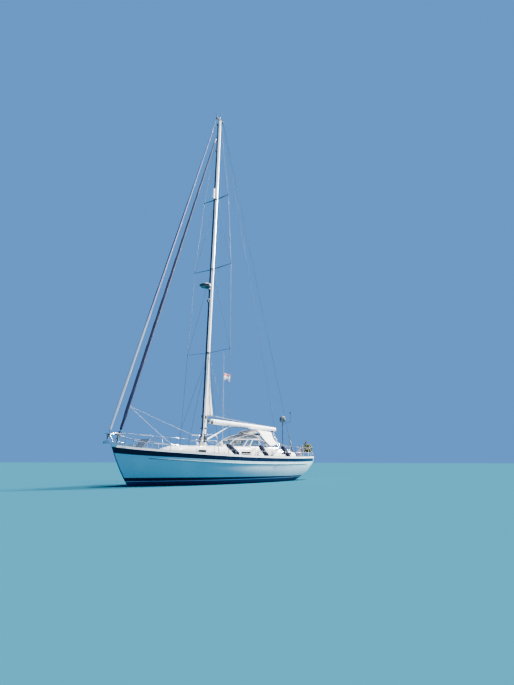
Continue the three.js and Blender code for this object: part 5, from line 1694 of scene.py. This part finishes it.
TRACK_FORE, TRACK_AFT = 2.55, -0.15
deck_gear = Form()
for side in (1, -1):
    cleat(deck_gear, deck_at(5.95, side * 0.78, -0.004), -0.45 * side)
    cleat(deck_gear, deck_at(-6.55, side * 1.25, -0.004), 0.12 * side)
    cleat(deck_gear, deck_edge(0.35, side, 0.11, 0.010))
    track = []
    for k in range(9):
        track.append(deck_edge(TRACK_FORE + (TRACK_AFT - TRACK_FORE) * k / 8, side, 0.275, 0.040))
    deck_gear.bar(track, flat_section(-0.016, 0.016, 0, 0.022))
    car = deck_edge(1.05, side, 0.275, 0.062)
    deck_gear.block(car - Vector((0.06, 0.026, 0)), car + Vector((0.06, 0.026, 0.026)))
    sheave(deck_gear, car + Vector((0, 0.01 * side, 0.070)), 0.040)
    sheave(deck_gear, deck_edge(-0.60, side, 0.31, 0.135), 0.040)
made("deck_cleats_and_tracks", deck_gear, DARK_ALLOY, bevel=0.002)

CORNERS = ((-1, -1), (1, -1), (1, 1), (-1, 1))


def deck_hatch(form, pane, table, x, y, long, wide):
    """A flush hatch with a metal frame round a dark pane, following the roof."""

    def corners(share, up):
        return [roof_at(table, x + sx * long * share, y + sy * wide * share, up) for sx, sy in CORNERS]

    form.skin([corners(*row) for row in ((0.5, -0.012), (0.5, 0.022), (0.43, 0.026), (0.43, 0.010))])
    pane.skin([corners(0.43, up) for up in (0.008, 0.024)])


HATCHES = [
    # roof, x, y, length, width
    (COACHROOF, 3.05, 0.0, 0.56, 0.56),
    (COACHROOF, 2.35, 0.56, 0.32, 0.24),
    (COACHROOF, 2.35, -0.56, 0.32, 0.24),
    (AFT_COACHROOF, -4.75, 0.0, 0.52, 0.52),
    (AFT_COACHROOF, -4.05, 0.52, 0.30, 0.24),
    (AFT_COACHROOF, -4.05, -0.52, 0.30, 0.24),
]
frames = Form()
panes = Form()
for hatch in HATCHES:
    deck_hatch(frames, panes, *hatch)
made("roof_hatch_frames", frames, MAST_PAINT, bevel=0.004)
made("roof_hatch_panes", panes, ACRYLIC, bevel=0.003)


def roof_side(table, x, share, up):
    return roof_at(table, x, table_at(table, x)[1] * share, up)


HANDRAILS = [
    # roof, fore end, aft end, share of the half width, posts
    (COACHROOF, 3.45, 0.95, 0.80, 5),
    (AFT_COACHROOF, -3.75, -5.55, 0.78, 4),
]
handrails = Form()
for side in (1, -1):
    for table, x0, x1, share, posts in HANDRAILS:
        rail = [roof_side(table, x0 + (x1 - x0) * k / 12, side * share, 0.062) for k in range(13)]
        handrails.tube(rail, 0.0125, 10)
        for k in range(posts):
            x = x0 + (x1 - x0) * (k / (posts - 1) * 0.96 + 0.02)
            low = roof_side(table, x, side * share, -0.010)
            handrails.tube([low, low + Vector((0, 0, 0.070))], 0.010, 8)
made("roof_handrails", handrails, STAINLESS, crease=60)

COWL = [
    # ahead of the box, over it, radius
    (0.0, 0.0, 0.038),
    (0.0, 0.06, 0.036),
    (0.012, 0.10, 0.040),
    (0.045, 0.135, 0.052),
    (0.085, 0.142, 0.064),
]
vents = Form()
cowls = Form()
for y in (0.84, -0.84):
    base = roof_at(COACHROOF, 1.05, y)
    vents.block(base - Vector((0.13, 0.075, 0.03)), base + Vector((0.13, 0.075, 0.075)))
    neck = base + Vector((0.05, 0, 0.07))
    cowls.tube([neck + Vector((ahead, 0, up)) for ahead, up, _ in COWL], [row[2] for row in COWL], 18)
made("vent_boxes", vents, GELCOAT, bevel=0.012)
made("vent_cowls", cowls, PLASTIC, crease=60)

# Window trims and panes on the sides of the roofs

WINDOWS = [
    # x, length, height, middle height
    (2.800, 0.460, 0.095, 1.570),
    (-0.330, 0.780, 0.130, 1.515),
]
AFT_WINDOWS = [(-4.150, 0.420, 0.110, 1.560), (-5.000, 0.380, 0.105, 1.560)]


def side_of(table, x, z):
    """Outer half width of a cabin side at a height."""
    _, half, edge = table_at(table, x)
    return half - 0.025 * (z - 1.1) / max(0.05, edge - 0.070 - 1.1)


trims = Form()
side_panes = Form()
for table, windows in ((COACHROOF, WINDOWS), (AFT_COACHROOF, AFT_WINDOWS)):
    for x, long, tall, middle in windows:
        for side in (1, -1):
            path = []
            radius = tall / 2
            for turn in turns(32):
                end = (long / 2 - radius) * (1 if math.cos(turn) > 0 else -1)
                px = x + end + radius * math.cos(turn)
                pz = middle + radius * math.sin(turn)
                path.append(Vector((px, side * (side_of(table, px, pz) + 0.002), pz)))
            trims.tube(path, 0.010, 8, True)
            inner, outer = moved(path, y=-side * 0.010), moved(path, y=-side * 0.002)
            side_panes.skin([inner, outer] if side > 0 else [outer, inner])
made("window_trims", trims, RUBBER, crease=70)
made("window_panes", side_panes, GLASS, crease=30)

# Cockpit

grating = Form()
for k in range(17):
    y = -0.42 + 0.84 * k / 16
    grating.block((-2.36, y - 0.019, 0.622), (-0.86, y + 0.019, 0.640))
for x in (-2.30, -1.60, -0.92):
    grating.block((x - 0.02, -0.44, 0.6215), (x + 0.02, 0.44, 0.632))
made("cockpit_sole_slats", grating, TEAK, bevel=0.003)
seats = Form()
for side in (1, -1):
    for k in range(9):
        y = 0.505 + 0.058 * k
        low = min(side * y, side * (y + 0.052))
        seats.block((-3.30, low, 1.346), (-0.85, low + 0.052, 1.362))
made("cockpit_seat_slats", seats, TEAK, bevel=0.003)
dome = [(0, 0.085), (0.02, 0.088), (0.05, 0.078), (0.085, 0.050), (0.10, 0.012)]
made("compass_dome", Form().turned(dome, (-2.55, 0, 1.760), sides=28), GLASS, crease=50)
guard = Form()
guard_side = [(0.13, 0.66), (0.13, 1.80), (0.09, 1.93)]
guard_path = [(-2.46, y, z) for y, z in guard_side] + [(-2.46, -y, z) for y, z in reversed(guard_side)]
guard.tube(guard_path, 0.013, 10)
guard.tube([(-2.64, 0.105, 1.50), (-2.64, 0.150, 1.52), (-2.66, 0.165, 1.66)], 0.008, 8)
made("pedestal_guard", guard, STAINLESS, crease=60)
dials = Form()
for y in (-0.075, 0.0, 0.075):
    dials.turned([(0, 0.032), (0.012, 0.032), (0.014, 0.026)], (-2.647, y, 1.705), (-1, 0, 0.1), 20)
dials.turned([(0, 0.020), (0.03, 0.024), (0.06, 0.014)], (-2.66, 0.165, 1.66), sides=14)
made("pedestal_dials", dials, RUBBER)
WHEEL = Vector((-2.720, 0, 1.600))
WHEEL_RADIUS = 0.410
rim_path = [WHEEL + Vector((0, WHEEL_RADIUS * math.cos(a), WHEEL_RADIUS * math.sin(a))) for a in turns(64)]
made("wheel_leather_rim", Form().tube(rim_path, 0.0165, 14, True), RUBBER, body="wheel", crease=70)
stitch_path = [WHEEL + (p - WHEEL) * 0.962 for p in rim_path + rim_path[:1]]
set_along("wheel_rim_stitches", [stitch_path], bead(0.010, 0.0020), 0.018, SHEET_ROPE, "wheel")

DRUM = [(0, 0.090), (0.012, 0.092), (0.030, 0.088), (0.040, 0.070), (0.060, 0.062)]
DRUM += [(0.105, 0.056), (0.130, 0.060), (0.150, 0.070), (0.156, 0.074), (0.162, 0.060)]
DRUM += [(0.168, 0.074), (0.180, 0.072), (0.192, 0.045), (0.197, 0.018)]
for name, side in (("port", 1), ("starboard", -1)):
    at = Vector((-2.300, side * 1.155, 1.846))
    drum = Form().turned(DRUM, at, sides=36)
    for turn in turns(18):
        out = Vector((math.cos(turn), math.sin(turn), 0))
        low = at + out * 0.060 + Vector((0, 0, 0.048))
        drum.tube([low, low - out * 0.004 + Vector((0, 0, 0.075))], 0.0032, 6)
    made(f"winch_{name}_drum", drum, STAINLESS, instead=(f"winch_{name}",), crease=40)
small_winches = Form()
small_winch = [(0, 0.070), (0.010, 0.070), (0.030, 0.060), (0.045, 0.046), (0.085, 0.042)]
small_winch += [(0.112, 0.054), (0.128, 0.054), (0.140, 0.030), (0.143, 0.008)]
for side in (1, -1):
    small_winches.turned(small_winch, (-3.150, side * 1.165, 1.846), sides=28)
made("halyard_winches", small_winches, STAINLESS, crease=40)

LID_HINGE = Vector((5.962, 0, 1.658))
LID_TURN = Matrix.Rotation(math.radians(40), 3, "Y")
LID_OUTLINE = [(-0.6215, -0.3012), (-0.012, -0.3012), (-0.012, 0.3012), (-0.6215, 0.3012)]
LID_INNER = [(-0.607, -0.287), (-0.030, -0.287), (-0.030, 0.287), (-0.607, 0.287)]
lid_trim = Form()
for z0, z1 in ((0.006, 0.019), (-0.0145, -0.006)):
    loops = [(LID_OUTLINE, z0), (LID_OUTLINE, z1), (LID_INNER, z1), (LID_INNER, z0)]
    rings = [[LID_HINGE + LID_TURN @ Vector((x, y, z)) for x, y in loop] for loop, z in loops]
    lid_trim.skin(rings, closed=True)
made("fore_hatch_trim", lid_trim, STEEL_WITH_PAINTED_SHADE, body="fore_hatch", bevel=0.003)
LOUVRE = [(-0.817, 0, 0.0), (-0.829, 0, -0.012), (-0.829, 0, -0.004), (-0.817, 0, 0.030)]
door_louvres = Form()
for k in range(7):
    door_louvres.bar([(0, y, 0.86 + 0.075 * k) for y in (-0.24, 0.24)], LOUVRE)
made("door_louvres", door_louvres, VARNISH, body="companion_door")
drain = Form()
for side in (1, -1):
    for x in (-7.0, -1.9):
        outlet = deck_edge(x, side, 0.004, -0.42)
        drain.turned([(-0.01, 0.030), (0.004, 0.030), (0.007, 0.020)], outlet, (0, side, 0), 16)
made("hull_outlets", drain, STAINLESS)

# Camera, light, floor and sky

EYE = Vector((22.135, 18.321, 1.058))
YAW = math.radians(-143.988)
PITCH = math.radians(12.804)
ROLL = math.radians(0.09)
FOCAL_PIXELS = 525.64
LONG_SIDE = 685
SENSOR = 36.0
way = Vector((math.cos(YAW) * math.cos(PITCH), math.sin(YAW) * math.cos(PITCH), math.sin(PITCH)))
camera_data = bpy.data.cameras.new("camera")
camera_data.sensor_width = SENSOR
camera_data.lens = SENSOR * FOCAL_PIXELS / LONG_SIDE
camera_data.clip_start = 0.1
camera_data.clip_end = 3000.0
camera = bpy.data.objects.new("camera", camera_data)
bpy.context.scene.collection.objects.link(camera)
camera.location = EYE
camera.rotation_mode = "QUATERNION"
level = way.to_track_quat("-Z", "Y")
camera.rotation_quaternion = level @ Matrix.Rotation(ROLL, 4, "Z").to_quaternion()
bpy.context.scene.camera = camera

SUNLIGHT = (1.0, 0.97, 0.93)
LIT_POINT = Vector((0, 0, 4))


def sun(name, strength, place, spread):
    """A soft sun that shines from a place towards the boat."""
    data = bpy.data.lights.new(name, "SUN")
    data.energy = strength
    data.color = SUNLIGHT
    data.angle = math.radians(spread)
    lamp = bpy.data.objects.new(name, data)
    lamp.location = place
    lamp.rotation_mode = "QUATERNION"
    lamp.rotation_quaternion = (LIT_POINT - Vector(place)).to_track_quat("-Z", "Y")
    bpy.context.scene.collection.objects.link(lamp)


sun("key", 15.0, (-7.5, 30.0, 99), 8)
sun("stern", 27.0, (-88.6, 18.8, 46), 10)

world = bpy.data.worlds.new("studio")
world.use_nodes = True
backdrop = world.node_tree.nodes["Background"]
backdrop.inputs["Color"].default_value = (0.125, 0.40, 0.98, 1.0)
backdrop.inputs["Strength"].default_value = 0.85
bpy.context.scene.world = world

FLOOR_HALF = 600.0
floor_mesh = bpy.data.meshes.new("floor")
floor_mesh.from_pydata([(x * FLOOR_HALF, y * FLOOR_HALF, 0) for x, y in CORNERS], [], [(0, 1, 2, 3)])
floor_finish = Finish("pale_floor", None, (0.010, 0.068, 0.102), 0.9, Specular_IOR_Level=0.0)
linked("floor", floor_mesh, floor_finish)
